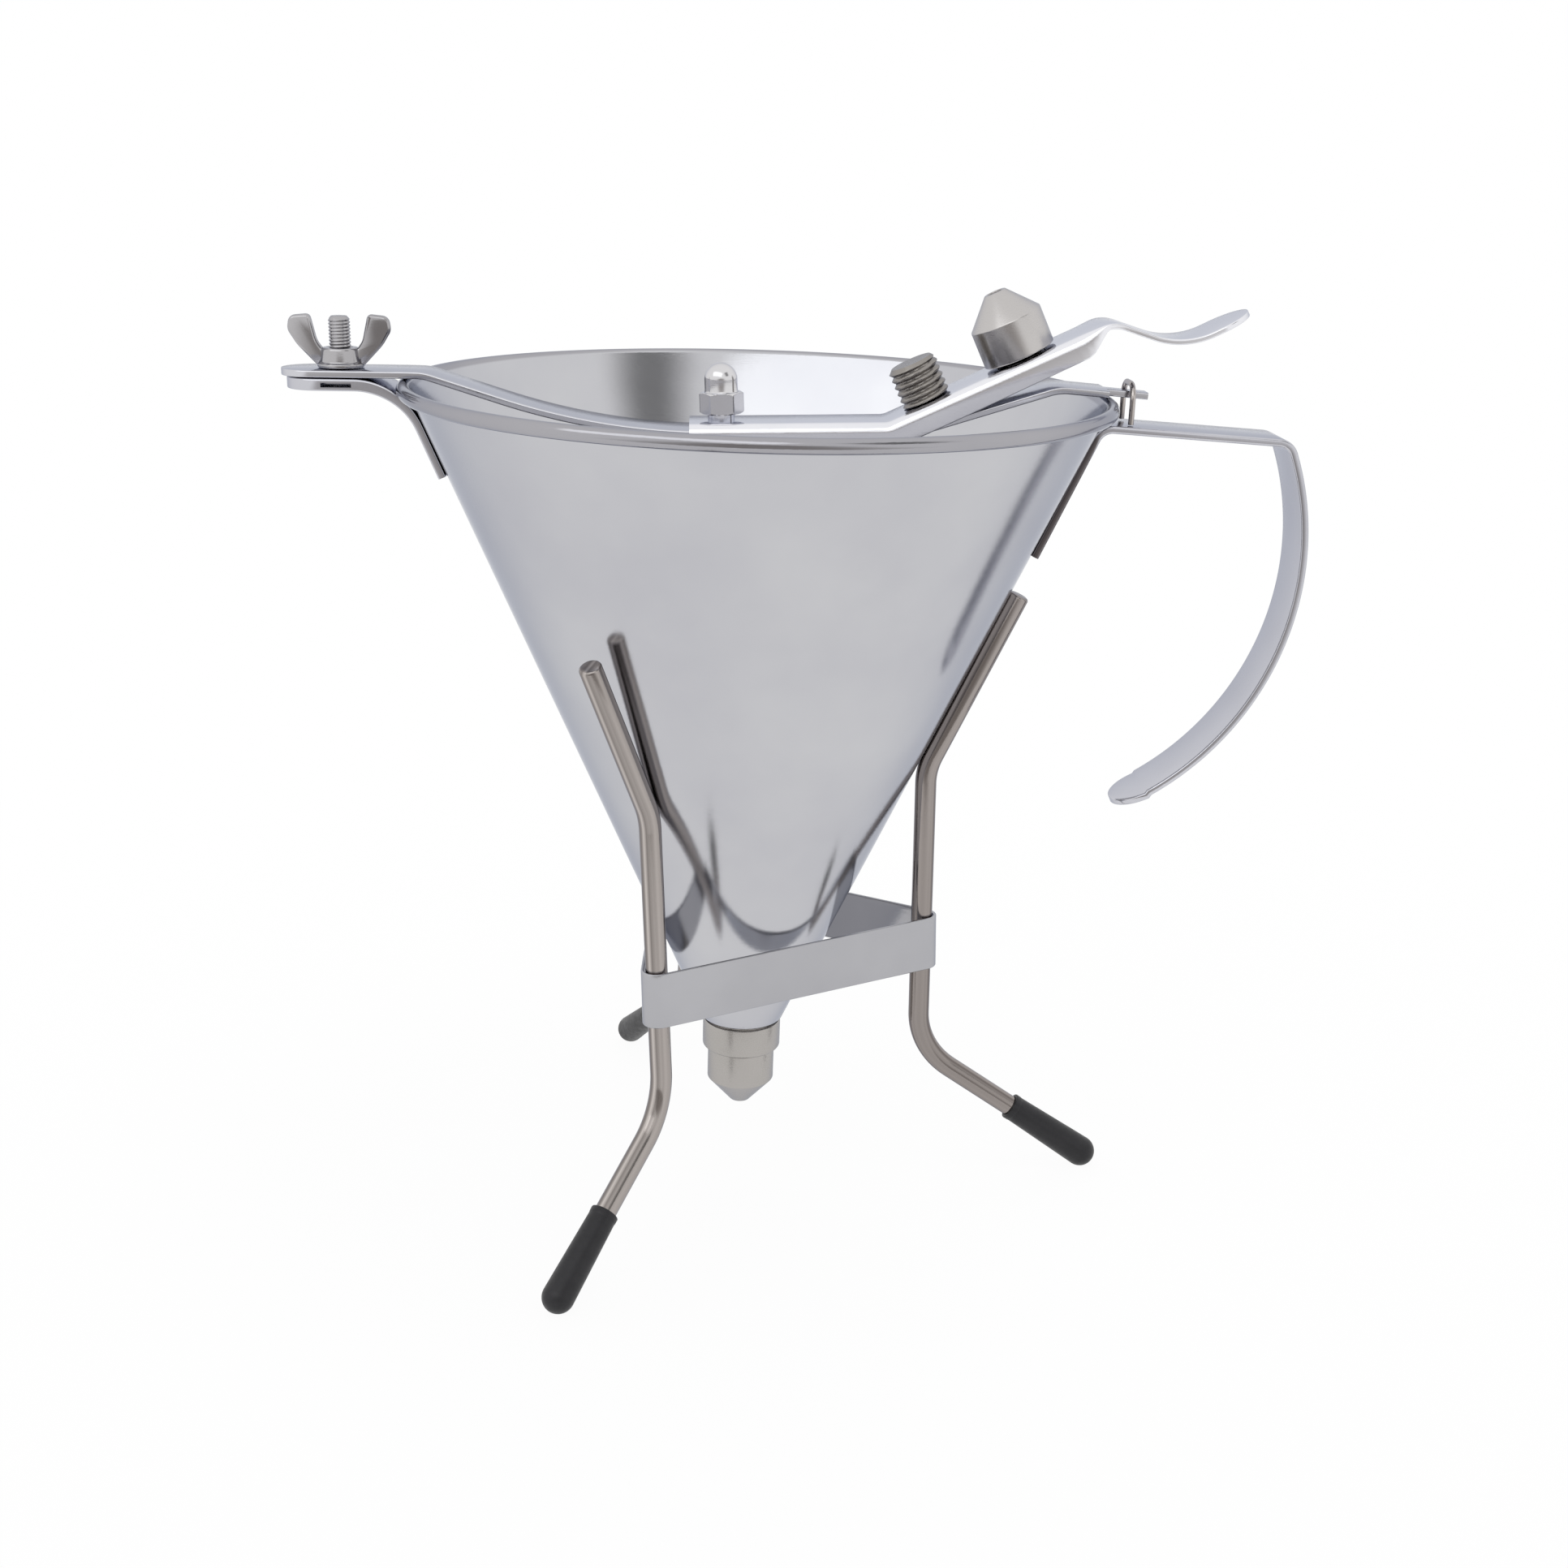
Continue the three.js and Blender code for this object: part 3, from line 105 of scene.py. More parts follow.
NOZZLE_CONE = 8
NOZZLE_TIP_RADIUS = 3
NOZZLE_HOLE_RADIUS = 2.1
STRIP = 2.2
STRIP_WIDTH = 20
HANDLE_STRAP_DEPTH = 42.8
HANDLE_ARM_DROP = 6.1
HANDLE_ARM_FALL = rad(2.9)
HANDLE_ROOT_BEND = 5
GRIP_BEND = 5
GRIP_RADIUS = 82.5
GRIP_CENTRE_X = 73.9
GRIP_CENTRE_DROP = 42.7
GRIP_START = rad(21)
GRIP_END = rad(-65.1)
BAR = 1.9
BAR_WIDTH = 17.8
BAR_LEFT_END = 132.2
TAB_END = 130.7
BAR_LEFT_CREST = 92.3
BAR_CREST_BEND = 14
BAR_DIP = 14
BAR_LEFT_SLOPE = rad(16.5)
BAR_LEFT_SAG_RADIUS = 190
BAR_RIGHT_FOOT = 37.5
BAR_RIGHT_SLOPE = rad(18.2)
BAR_RIGHT_FOOT_RADIUS = 26
BAR_SHOULDER = 97
BAR_LEFT_FALL = rad(0.8)
BAR_RIGHT_FALL = rad(3.8)
TONGUE_WIDTH = 6
TONGUE_END = 109.1
EYE_WIRE_RADIUS = 0.8
EYE_HALF_WIDTH = 6.6
EYE_BEND = 4.2
EYE_X = 104.1
EYE_SLACK = 0.9
TAB_BEND = 19
TAB_THICKNESS = 3.2
TAB_SLOT_LEDGE = 0.95
TAB_STRAP_DEPTH = 24.5
CLAMP_X = 115.8
STUD_RADIUS = 3
STUD_REACH = 14
STUD_FOOT_LENGTH = 7.8
STUD_FOOT_WIDTH = 12
STUD_FOOT = 0.75
WING_HUB_RADIUS = 6.4
WING_HUB_TOP_RADIUS = 5.2
WING_HUB_HEIGHT = 5.3
WING_HUB_FLANGE = 0.9
WING_SPAN = 28.2
WING_HEIGHT = 14.2
WING_THICKNESS = 2.8
SHEET = 1.5
LEVER_WIDTH = 22
LEVER_FOLD = 2.8
LEVER_FLANGE = 7.3
LEVER_FLANGE_END = 6.3
LEVER_LEFT_END = 19.3
LEVER_REST_TILT = rad(2.1)
LEVER_BEND_X = 36.5
LEVER_BEND_RADIUS = 8
LEVER_RISE = rad(23.7)
LEVER_RAMP = 66.8
TAB_WIDTH = 19
THUMB_CREST_RADIUS = 7
THUMB_FALL = rad(18.8)
THUMB_FALL_LENGTH = 21.3
THUMB_TROUGH_RADIUS = 25
THUMB_RISE = rad(25.1)
THUMB_RISE_LENGTH = 22
FULCRUM_X = 36.3
FULCRUM_RADIUS = 1
STUD_LENGTH = 11.2
BARE_STUD_ALONG = 13.1
SPARE_STUD_ALONG = 41.7
SPARE_SLACK = 0.5
PISTON_RADIUS = 3
PISTON_OFFSET = 9.9
PISTON_SLOT_SLACK = 0.75
LEVER_SLOT_SHIFT = 0.45
PLUG_HEIGHT = 12
PLUG_CONE = 6.4
PLUG_BORE = 8
NUT_FLATS = 11
NUT_HEX = 6
NUT_DOME_RADIUS = 4.6
NUT_DOME = 8
NUT_HOVER = 1.7
SPRING_WIRE_RADIUS = 0.65
SPRING_RADIUS = 5.4
SPRING_CURLS = 9
SPRING_LENGTH = 40

CONE_SLOPE = math.tan(CONE_HALF_ANGLE)
WALL_RUN = WALL / math.cos(CONE_HALF_ANGLE)
BEAD_CENTRE = RIM_RADIUS - BEAD_RADIUS
WALL_TOP_RADIUS = BEAD_CENTRE - BEAD_RADIUS / math.cos(CONE_HALF_ANGLE) + WALL_RUN


def wall_radius(z):
    return WALL_TOP_RADIUS + z * CONE_SLOPE


# Frames: stand, funnel, lever, ramp and piston, all in millimetres
def turn(angle, axis):
    return Matrix.Rotation(angle, 4, axis)


def move(x, y, z):
    return Matrix.Translation((x, y, z))


STAND = move(*SHIFT) @ turn(LEG_TURN, 'Z')


def funnel_frame():
    a, b = CONE_HALF_ANGLE, FUNNEL_LEAN
    height = LEG_RADIUS * (math.cos(a) ** 2 - 0.75 * math.sin(b) ** 2) / (math.sin(a) * math.cos(a))
    tip = Vector((LEG_RADIUS - height * math.tan(a + b), 0, UPPER_BEND_HEIGHT - height))
    axis = Vector((math.sin(b), 0, math.cos(b)))
    rim = tip + axis * ((ROD_RADIUS + GAP) / math.sin(a) + WALL_TOP_RADIUS / CONE_SLOPE)
    return STAND @ move(*rim) @ turn(b, 'Y') @ turn(-LEG_TURN, 'Z')


FUNNEL = funnel_frame()
BAR_BOTTOM = BEAD_RADIUS + GAP
BAR_LOW_TOP = BAR_BOTTOM - BAR_DIP + BAR
LEVER = FUNNEL @ move(FULCRUM_X, 0, BAR_LOW_TOP + GAP + FULCRUM_RADIUS) @ turn(-LEVER_REST_TILT, 'Y')
LEVER_UNDER = FULCRUM_RADIUS + GAP
SEAT_Z = -CONE_HEIGHT + HUB_NECK_HEIGHT
BAR_UNDER_Z = BAR_LOW_TOP - BAR - SEAT_Z
PISTON_LEAN = math.atan2(PISTON_OFFSET, BAR_UNDER_Z)
LEVER_TOP_AT_ROD = (BAR_LOW_TOP + GAP + FULCRUM_RADIUS + (LEVER_UNDER + SHEET) * math.cos(LEVER_REST_TILT)
                    - (FULCRUM_X + PISTON_OFFSET) * math.sin(LEVER_REST_TILT))
NUT_BOTTOM = (LEVER_TOP_AT_ROD + NUT_HOVER - SEAT_Z) / math.cos(PISTON_LEAN)
PISTON = FUNNEL @ move(0, 0, SEAT_Z) @ turn(-PISTON_LEAN, 'Y')
PLUG_BOTTOM = GAP - PLUG_CONE / 2
COLLAR_TOP = -CONE_HEIGHT - COLLAR_GAP
COLLAR_BOTTOM = COLLAR_TOP - COLLAR_HEIGHT
UPPER_ARM_ANGLE = CONE_HALF_ANGLE + FUNNEL_LEAN
FOOT_HEIGHT = CAP_TIP_RADIUS - CAP_FLAT
FOOT_DIRECTION = Vector((FOOT_REACH - LOWER_BEND_RADIAL, FOOT_HEIGHT - LOWER_BEND_HEIGHT)).normalized()


def left_underside(reach):
    return BAR_BOTTOM - (reach - BEAD_CENTRE) * math.tan(BAR_LEFT_FALL)


CLAMP = FUNNEL @ move(-CLAMP_X, 0, left_underside(CLAMP_X)) @ turn(-BAR_LEFT_FALL, 'Y')


def step(start, length, angle):
    return (start[0] + length * math.cos(angle), start[1] + length * math.sin(angle))


BEND = (LEVER_BEND_X - FULCRUM_X, 0)
CREST = step(BEND, LEVER_RAMP, LEVER_RISE)
TROUGH = step(CREST, THUMB_FALL_LENGTH, -THUMB_FALL)
THUMB_END = step(TROUGH, THUMB_RISE_LENGTH, THUMB_RISE)


def on_ramp(along, lift):
    x, z = step(BEND, along, LEVER_RISE)
    height = LEVER_UNDER + SHEET + lift
    spot = move(x - height * math.sin(LEVER_RISE), 0, z + height * math.cos(LEVER_RISE))
    return LEVER @ spot @ turn(-LEVER_RISE, 'Y')


# Materials

# Noise is used between these two values. Scales are per metre and depths in metres.
NOISE_LOW = 0.3
NOISE_HIGH = 0.7
CLOUD_SCALE = 22
SMUDGE_SCALE = 60
SMUDGE_ROUGHER = 1.6
RIPPLE_SCALE = 16
ROD_STREAK_SCALE = 520
RIPPLE_DEPTH = 0.0008
LINE_DEPTH = 0.00008
LINE_STRENGTH = 0.12
MOTTLE_SCALE = 90
GRAIN_DEPTH = 0.0002
GRAIN_STRENGTH = 0.25
MOULDED_GLOSS = 0.36
# A coordinate divided by this hardly changes
FLATTENED = 400


def add(tree, kind, inputs=None, **settings):
    """A new node; inputs holds numbers, or outputs of other nodes to link from."""
    node = tree.nodes.new(kind)
    for name, value in settings.items():
        setattr(node, name, value)
    for socket, value in (inputs or {}).items():
        if isinstance(value, bpy.types.NodeSocket):
            tree.links.new(value, node.inputs[socket])
        else:
            node.inputs[socket].default_value = value
    return node


def node_tree(owner):
    owner.use_nodes = True
    owner.node_tree.nodes.clear()
    return owner.node_tree


def new_material(name):
    material = bpy.data.materials.new(name)
    return material, node_tree(material)


def surface(tree, inputs, kind='ShaderNodeBsdfPrincipled'):
    shader = add(tree, kind, inputs)
    add(tree, 'ShaderNodeOutputMaterial', {0: shader.outputs[0]})


def object_place(tree):
    return add(tree, 'ShaderNodeTexCoord').outputs['Object']


def mapping(tree, scale):
    return add(tree, 'ShaderNodeMapping', {'Vector': object_place(tree), 'Scale': scale}).outputs[0]


def across_rod(tree, heading):
    """Coordinates that change only across the plane in which a leg's rod is bent."""
    inputs = {'Vector': object_place(tree), 'Rotation': (0, 0, heading), 'Scale': (FLATTENED, 1, FLATTENED)}
    return add(tree, 'ShaderNodeMapping', inputs, vector_type='TEXTURE').outputs[0]


def noise(tree, vector, scale, detail, roughness=0.5):
    inputs = {'Vector': vector, 'Scale': scale, 'Detail': detail, 'Roughness': roughness}
    return add(tree, 'ShaderNodeTexNoise', inputs).outputs['Fac']


def ranged(tree, value, start, end, low=0, high=1, interpolation='SMOOTHSTEP'):
    """Brings a value from one range to another."""
    inputs = {'Value': value, 'From Min': start, 'From Max': end, 'To Min': low, 'To Max': high}
    return add(tree, 'ShaderNodeMapRange', inputs, interpolation_type=interpolation).outputs[0]


def spread(tree, value, low, high):
    """Brings the middle of a noise's range to low and high."""
    return ranged(tree, value, NOISE_LOW, NOISE_HIGH, low, high, 'LINEAR')


def colours(tree, value, low, high, start=NOISE_LOW, end=NOISE_HIGH):
    node = add(tree, 'ShaderNodeValToRGB', {0: value})
    for stop, place, colour in zip(node.color_ramp.elements, (start, end), (low, high)):
        stop.position = place
        stop.color = (*colour, 1)
    return node.outputs[0]


def with_painted_shade(tree, colour, axis, start, end, shade):
    """The colour, multiplied by a painted shade beyond end along the axis; it fades in from start."""
    along = add(tree, 'ShaderNodeVectorMath', {0: object_place(tree), 1: axis}, operation='DOT_PRODUCT')
    share = ranged(tree, along.outputs['Value'], start, end)
    inputs = {0: share, 6: colour, 7: (*shade, 1)}
    return add(tree, 'ShaderNodeMix', inputs, data_type='RGBA', blend_type='MULTIPLY').outputs[2]


def bump(tree, layers):
    normal = None
    for value, strength, distance in layers:
        inputs = {'Height': value, 'Strength': strength, 'Distance': distance}
        if normal:
            inputs['Normal'] = normal
        normal = add(tree, 'ShaderNodeBump', inputs).outputs[0]
    return normal


def steel(name, low, high, rough, grain, grain_scale, wave=0.35, rod=None, dark=None):
    """Steel between two tones and two roughnesses, with lines along the grain and a slight waviness; dark
    multiplies a painted shade into the colour.
    """
    material, tree = new_material(name)
    plain = mapping(tree, (1, 1, 1))
    if rod is None:
        tone = noise(tree, plain, CLOUD_SCALE, 4)
    else:
        tone = noise(tree, across_rod(tree, rod), ROD_STREAK_SCALE, 2)
    colour = colours(tree, tone, low, high)
    # A painted shade, multiplied into the colour past a plane
    if dark:
        colour = with_painted_shade(tree, colour, *dark)
    lines = noise(tree, mapping(tree, grain), grain_scale, 4, 0.6)
    smudge = noise(tree, plain, SMUDGE_SCALE, 5, 0.6)
    inputs = {0: spread(tree, lines, 0, rough[1] - rough[0]),
              1: spread(tree, smudge, rough[0], rough[0] * SMUDGE_ROUGHER)}
    total = add(tree, 'ShaderNodeMath', inputs, operation='ADD')
    ripple = noise(tree, plain, RIPPLE_SCALE, 2)
    normal = bump(tree, [(ripple, wave, RIPPLE_DEPTH), (lines, LINE_STRENGTH, LINE_DEPTH)])
    surface(tree, {'Metallic': 1, 'Specular Tint': EDGE_TINT, 'Base Color': colour,
                   'Roughness': total.outputs[0], 'Normal': normal})
    return material


def moulded(name, low, high, rough, scale):
    material, tree = new_material(name)
    plain = mapping(tree, (1, 1, 1))
    tone = noise(tree, plain, MOTTLE_SCALE, 5, 0.65)
    fine = noise(tree, plain, scale, 4, 0.6)
    surface(tree, {'Specular IOR Level': MOULDED_GLOSS, 'Base Color': colours(tree, tone, low, high),
                   'Roughness': spread(tree, fine, *rough),
                   'Normal': bump(tree, [(fine, GRAIN_STRENGTH, GRAIN_DEPTH)])})
    return material


def painted_shade_mask(way, start, end, shade):
    """A painted shade beyond end, fading in from start, along a way in the funnel's frame."""
    axis = (FUNNEL.to_3x3() @ Vector(way)).normalized()
    base = axis.dot(FUNNEL.translation)
    return tuple(axis), (base + start) * MM, (base + end) * MM, shade


EDGE_TINT = (0.6, 0.62, 0.68, 1)

# Each steel: dark and pale tone, roughness, stretch of the grain, its scale and the waviness
SHEET_GRAIN = ((1, 1, 14), 420, 0.25)
# The cone's sheet steel, with a painted shade over the top of the rolled bead, reaching lower at the front,
# for the shade and dark reflection there
SHEET_STEEL = steel('sheet_steel', (0.51, 0.51, 0.54), (0.57, 0.57, 0.59), (0.06, 0.13), *SHEET_GRAIN,
                    dark=painted_shade_mask((0, -0.02, 1), -0.85, -0.1, (0.72, 0.71, 0.72)))
BAND_STEEL = steel('band_steel', (0.41, 0.41, 0.43), (0.47, 0.47, 0.49), (0.08, 0.16), *SHEET_GRAIN)
BAR_STEEL = steel('bar_steel', (0.56, 0.56, 0.6), (0.64, 0.64, 0.67), (0.07, 0.15), (1, 18, 18), 300)
LEVER_STEEL = steel('lever_steel', (0.78, 0.78, 0.82), (0.86, 0.86, 0.89), (0.07, 0.15), (1, 18, 18), 300)
STRAP_LOOK = ((0.52, 0.52, 0.56), (0.6, 0.6, 0.64), (0.05, 0.12), (4, 30, 4), 260)
# The handle's steel, with a painted shade and reflection darkening the front edge of its strap where it runs
# down the cone
HANDLE_STEEL = steel('handle_steel', *STRAP_LOOK,
                     dark=painted_shade_mask((-1, -9, 0), -0.66, -0.44, (0.3, 0.27, 0.26)))
TAB_STEEL = steel('tab_steel', *STRAP_LOOK)
ROD_STEEL = steel('rod_steel', (0.42, 0.39, 0.37), (0.5, 0.46, 0.44), (0.1, 0.2), (30, 30, 2), 220, 0.2)
TURNED_LOOK = ((0.14, 0.24), (1, 1, 30), 900, 0.1)
TURNED_STEEL = steel('turned_steel', (0.4, 0.38, 0.36), (0.48, 0.46, 0.44), *TURNED_LOOK)
SPARE_STEEL = steel('spare_steel', (0.48, 0.46, 0.45), (0.56, 0.54, 0.53), *TURNED_LOOK)
NUT_LOOK = ((0.08, 0.16), (1, 1, 6), 500, 0.15)
NUT_STEEL = steel('nut_steel', (0.38, 0.37, 0.38), (0.5, 0.49, 0.5), *NUT_LOOK)
DOME_STEEL = steel('dome_steel', (0.62, 0.61, 0.62), (0.72, 0.71, 0.72), *NUT_LOOK)
STUD_STEEL = steel('stud_steel', (0.27, 0.25, 0.23), (0.35, 0.33, 0.31), (0.16, 0.28), (1, 1, 8), 700, 0.1)
# Dark and pale tone for each leg's rod, stretched into streaks along it: partly drawn steel's grain, partly
# painted reflection; the different pairs for the legs are painted light and shade
LEG_GRAIN_AND_REFLECTION_TONES = [((0.08, 0.065, 0.06), (0.42, 0.38, 0.36)), ((0.15, 0.13, 0.12), (0.6, 0.56, 0.54)),
             ((0.18, 0.16, 0.15), (0.62, 0.57, 0.54))]
LEG_STEEL = [steel(f'leg_steel_{leg}', *LEG_GRAIN_AND_REFLECTION_TONES[leg], (0.08, 0.16), (30, 30, 2), 220, 0.2,
                   LEG_TURN + heading) for leg, heading in enumerate(LEG_HEADINGS)]
VINYL = moulded('vinyl', (0.012, 0.012, 0.014), (0.024, 0.023, 0.026), (0.34, 0.5), 700)
RUBBER = moulded('rubber', (0.012, 0.012, 0.013), (0.022, 0.022, 0.024), (0.6, 0.8), 900)


# Mesh code

def add_object(name, data):
    piece = bpy.data.objects.new(name, data)
    bpy.context.scene.collection.objects.link(piece)
    return piece


def new_piece(name, verts, faces, matrix, clean):
    """A mesh object in metres, from points in millimetres in the matrix's frame."""
    mesh = bpy.data.meshes.new(name)
    mesh.from_pydata([matrix @ Vector(v) for v in verts], [], faces)
    work = bmesh.new()
    work.from_mesh(mesh)
    if clean:
        bmesh.ops.remove_doubles(work, verts=work.verts, dist=1e-4)
        bmesh.ops.dissolve_degenerate(work, edges=work.edges, dist=1e-5)
    bmesh.ops.recalc_face_normals(work, faces=work.faces)
    bmesh.ops.scale(work, vec=(MM, MM, MM), verts=work.verts)
    work.to_mesh(mesh)
    work.free()
    return add_object(name, mesh)


def finish_mesh(name, body, material, replaced, part, matrix, sharp=35, cutters=()):
    """The visible piece for nodes of the frame; edges sharper than an angle stay sharp."""
    piece = new_piece(name, *part, matrix, True)
    for cutter in cutters:
        apply_cut(piece, cutter)
    piece.data.shade_smooth()
    piece.data.set_sharp_from_angle(angle=rad(sharp))
    piece.data.materials.clear()
    piece.data.materials.append(material)
    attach(piece, body)
    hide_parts(*replaced)
    return piece


def apply_cut(piece, cutter):
    tool = new_piece('cutter', *cutter, False)
    modifier = piece.modifiers.new('cut', 'BOOLEAN')
    modifier.operation = 'DIFFERENCE'
    modifier.solver = 'EXACT'
    modifier.object = tool
    depsgraph = bpy.context.evaluated_depsgraph_get()
    whole = piece.data
    piece.data = bpy.data.meshes.new_from_object(piece.evaluated_get(depsgraph))
    piece.modifiers.clear()
    bpy.data.meshes.remove(whole)
    bpy.data.objects.remove(tool)


def ring_faces(rings, around, base=0):
    """Quads between neighbouring rings of points, each ring closed."""
    faces = []
    for j in range(rings - 1):
        for k in range(around):
            a = base + j * around + k
            b = base + j * around + (k + 1) % around
            faces.append((a, b, b + around, a + around))
    return faces


def capped_faces(rings, around):
    """The same with a flat face over the first and the last ring."""
    last = (rings - 1) * around
    ends = [tuple(range(around)), tuple(last + k for k in reversed(range(around)))]
    return ring_faces(rings, around) + ends


def direction(angle):
    return Vector((math.cos(angle), math.sin(angle)))


def polar(radius, angle, z):
    return (radius * math.cos(angle), radius * math.sin(angle), z)


def arc(start, end, steps, radius, centre=(0, 0)):
    """Points round a centre from one angle to another."""
    angles = [start + (end - start) * s / steps for s in range(steps + 1)]
    return [(centre[0] + radius * math.cos(angle), centre[1] + radius * math.sin(angle)) for angle in angles]


def round_section(radius, sides):
    return arc(0, 2 * PI, sides, radius)[:-1]


def lathe(profile, steps, closed=False):
    """Body of revolution about Z; an open profile starts and ends on the axis."""
    verts, rows = [], []
    for r, z in profile:
        ring = [(0, 0)] if r < 1e-9 else round_section(r, steps)
        rows.append(range(len(verts), len(verts) + len(ring)))
        verts += [(x, y, z) for x, y in ring]
    faces = []
    for low, high in zip(rows, rows[1:] + rows[:1] if closed else rows[1:]):
        for k in range(steps):
            n = (k + 1) % steps
            if len(low) == 1:
                faces.append((low[0], high[k], high[n]))
            elif len(high) == 1:
                faces.append((low[k], low[n], high[0]))
            else:
                faces.append((low[k], low[n], high[n], high[k]))
    return verts, faces


def corner_ways(points, i):
    """A corner and the ways from it to its two neighbours."""
    corner = Vector(points[i][:2])
    return corner, Vector(points[i - 1][:2]) - corner, Vector(points[i + 1][:2]) - corner


def fillet(corner, before, after, radius, steps):
    """Arc that rounds a corner between two ways."""
    before, after = before.normalized(), after.normalized()
    angle = before.angle(after)
    centre = corner + (before + after).normalized() * (radius / math.sin(angle / 2))
    start = corner + before * (radius / math.tan(angle / 2)) - centre
    heading = math.atan2(start.y, start.x)
    side = -1 if before.x * after.y - before.y * after.x > 0 else 1
    return arc(heading, heading + side * (PI - angle), steps, radius, centre)


def rounded(profile, steps=4):
    """Rounds the corners of a profile, of which each inner one carries its radius as a third value.

    A nearly straight corner stays, and no arc takes more than 0.45 of a side.
    """
    out = [tuple(profile[0][:2])]
    for i in range(1, len(profile) - 1):
        corner, before, after = corner_ways(profile, i)
        r = profile[i][2]
        angle = before.angle(after)
        if r <= 0 or angle > PI - 0.05:
            out.append(tuple(corner))
            continue
        reach = min(r / math.tan(angle / 2), before.length * 0.45, after.length * 0.45)
        out += fillet(corner, before, after, reach * math.tan(angle / 2), steps)
    return out + [tuple(profile[-1][:2])]


def bent_path(corners, steps):
    """Path through corners, of which each inner one carries its bend radius as a third value."""
    points = [corners[0][:2]]
    for i in range(1, len(corners) - 1):
        points += fillet(*corner_ways(corners, i), corners[i][2], steps)
    return [Vector(point) for point in points + [corners[-1][:2]]]


def part_way(value, start, end):
    """How far a value is from start to end, between 0 and 1."""
    return min(1, max(0, (value - start) / (end - start)))


def eased(value, start, end):
    """The same with a soft start and end."""
    t = part_way(value, start, end)
    return t * t * (3 - 2 * t)


def lengths_of(path):
    lengths = [0]
    for a, b in zip(path, path[1:]):
        lengths.append(lengths[-1] + (b - a).length)
    return lengths


def densified(path, spacing):
    out = [path[0]]
    for a, b in zip(path, path[1:]):
        count = max(1, int((b - a).length / spacing))
        for s in range(1, count + 1):
            out.append(a.lerp(b, s / count))
    return out


def sweep(path, section_at):
    """Loft along a path in XZ: a section's first value runs along Y, its second to the path's left.

    section_at is given the lengths from the path's start and to its end.
    """
    lengths = lengths_of(path)
    verts = []
    for i, point in enumerate(path):
        back = path[max(i - 1, 0)]
        front = path[min(i + 1, len(path) - 1)]
        incoming = (point - back).normalized() if i else (front - point).normalized()
        outgoing = (front - point).normalized() if i + 1 < len(path) else incoming
        tangent = (incoming + outgoing).normalized()
        angle = incoming.angle(outgoing) if 0 < i < len(path) - 1 else 0
        full = 1 / max(math.cos(angle / 2), 0.5)
        section = section_at(lengths[i], lengths[-1] - lengths[i])
        for u, v in section:
            verts.append((point.x - tangent.y * v * full, u, point.y + tangent.x * v * full))
    return verts, capped_faces(len(path), len(section))


def strip_section(half, thickness, edge, steps=4):
    """Strip with rounded edges."""
    h = thickness / 2
    r = min(edge, h * 0.98, half * 0.98)
    u, v = half - r, h - r
    out = []
    for quarter, centre in enumerate(((u, v), (-u, v), (-u, -v), (u, -v))):
        out += arc(quarter * PI / 2, (quarter + 1) * PI / 2, steps, r, centre)
    return out


def with_round_end(path, radius, steps=28):
    """Puts stations of a half circle at a path's end; the last one keeps a little width."""
    end = path[-1]
    ahead = (end - path[-2]).normalized()
    shares = [math.sin(s / steps * 0.997 * PI / 2) for s in range(steps + 1)]
    stations = [end - ahead * (radius * (1 - share)) for share in shares]
    return [p for p in path if (end - p).length > radius * 1.001] + stations


def round_half_width(to_end, radius):
    """Half the width of a strip near its round end."""
    rise = max(radius - to_end, 0)
    return math.sqrt(max(radius * radius - rise * rise, (radius * 0.02) ** 2))


# In halves of the pitch: where the crest's flat ends and where the root's begins
THREAD_FLATS = (0.12, 0.88)
CHAMFER_START = 0.2
CHAMFER_SLOPE = 0.9


def thread(bottom, top, radius, depth, pitch, around, per_pitch, chamfer):
    """Right-hand thread as a solid, its crest worn off over a chamfer's length at the top."""
    rows = round((top - bottom) / pitch * per_pitch)
    verts = []
    for j in range(rows + 1):
        z = bottom + (top - bottom) * j / rows
        for k in range(around):
            share = k / around
            phase = ((z - bottom) / pitch - share) % 1
            wave = abs(2 * phase - 1)
            r = radius - depth * part_way(wave, *THREAD_FLATS)
            if top - z < chamfer:
                r = min(r, radius - depth * CHAMFER_START - (chamfer - (top - z)) * CHAMFER_SLOPE)
            if j == 0:
                r = radius - depth
            verts.append(polar(r, 2 * PI * share, z))
    ends = [tuple(reversed(range(around))), tuple(range(rows * around, (rows + 1) * around))]
    return verts, ring_faces(rows + 1, around) + ends


def merged(*parts):
    verts, faces = [], []
    for v, f in parts:
        base = len(verts)
        verts += v
        faces += [tuple(i + base for i in face) for face in f]
    return verts, faces


# Stand

# How far below a rod's end, and how much thinner the rod is there
ROD_TOP = ((0, 0.7), (0.12, 0.42), (0.3, 0.2), (0.7, 0))
ROD_SLOPE = (LEG_RADIUS - LOWER_BEND_RADIAL) / (UPPER_BEND_HEIGHT - LOWER_BEND_HEIGHT)
BAND_RADIAL = LOWER_BEND_RADIAL + ROD_SLOPE * (BAND_BOTTOM + BAND_HEIGHT / 2 - LOWER_BEND_HEIGHT)
BAND_EDGE = 0.42
BAND_SPACING = 1.2
WELD_ALONG = 5.2
WELD_RISE = 4
WELD_RADIUS = 1.8
WELD_DEPTH = 0.28


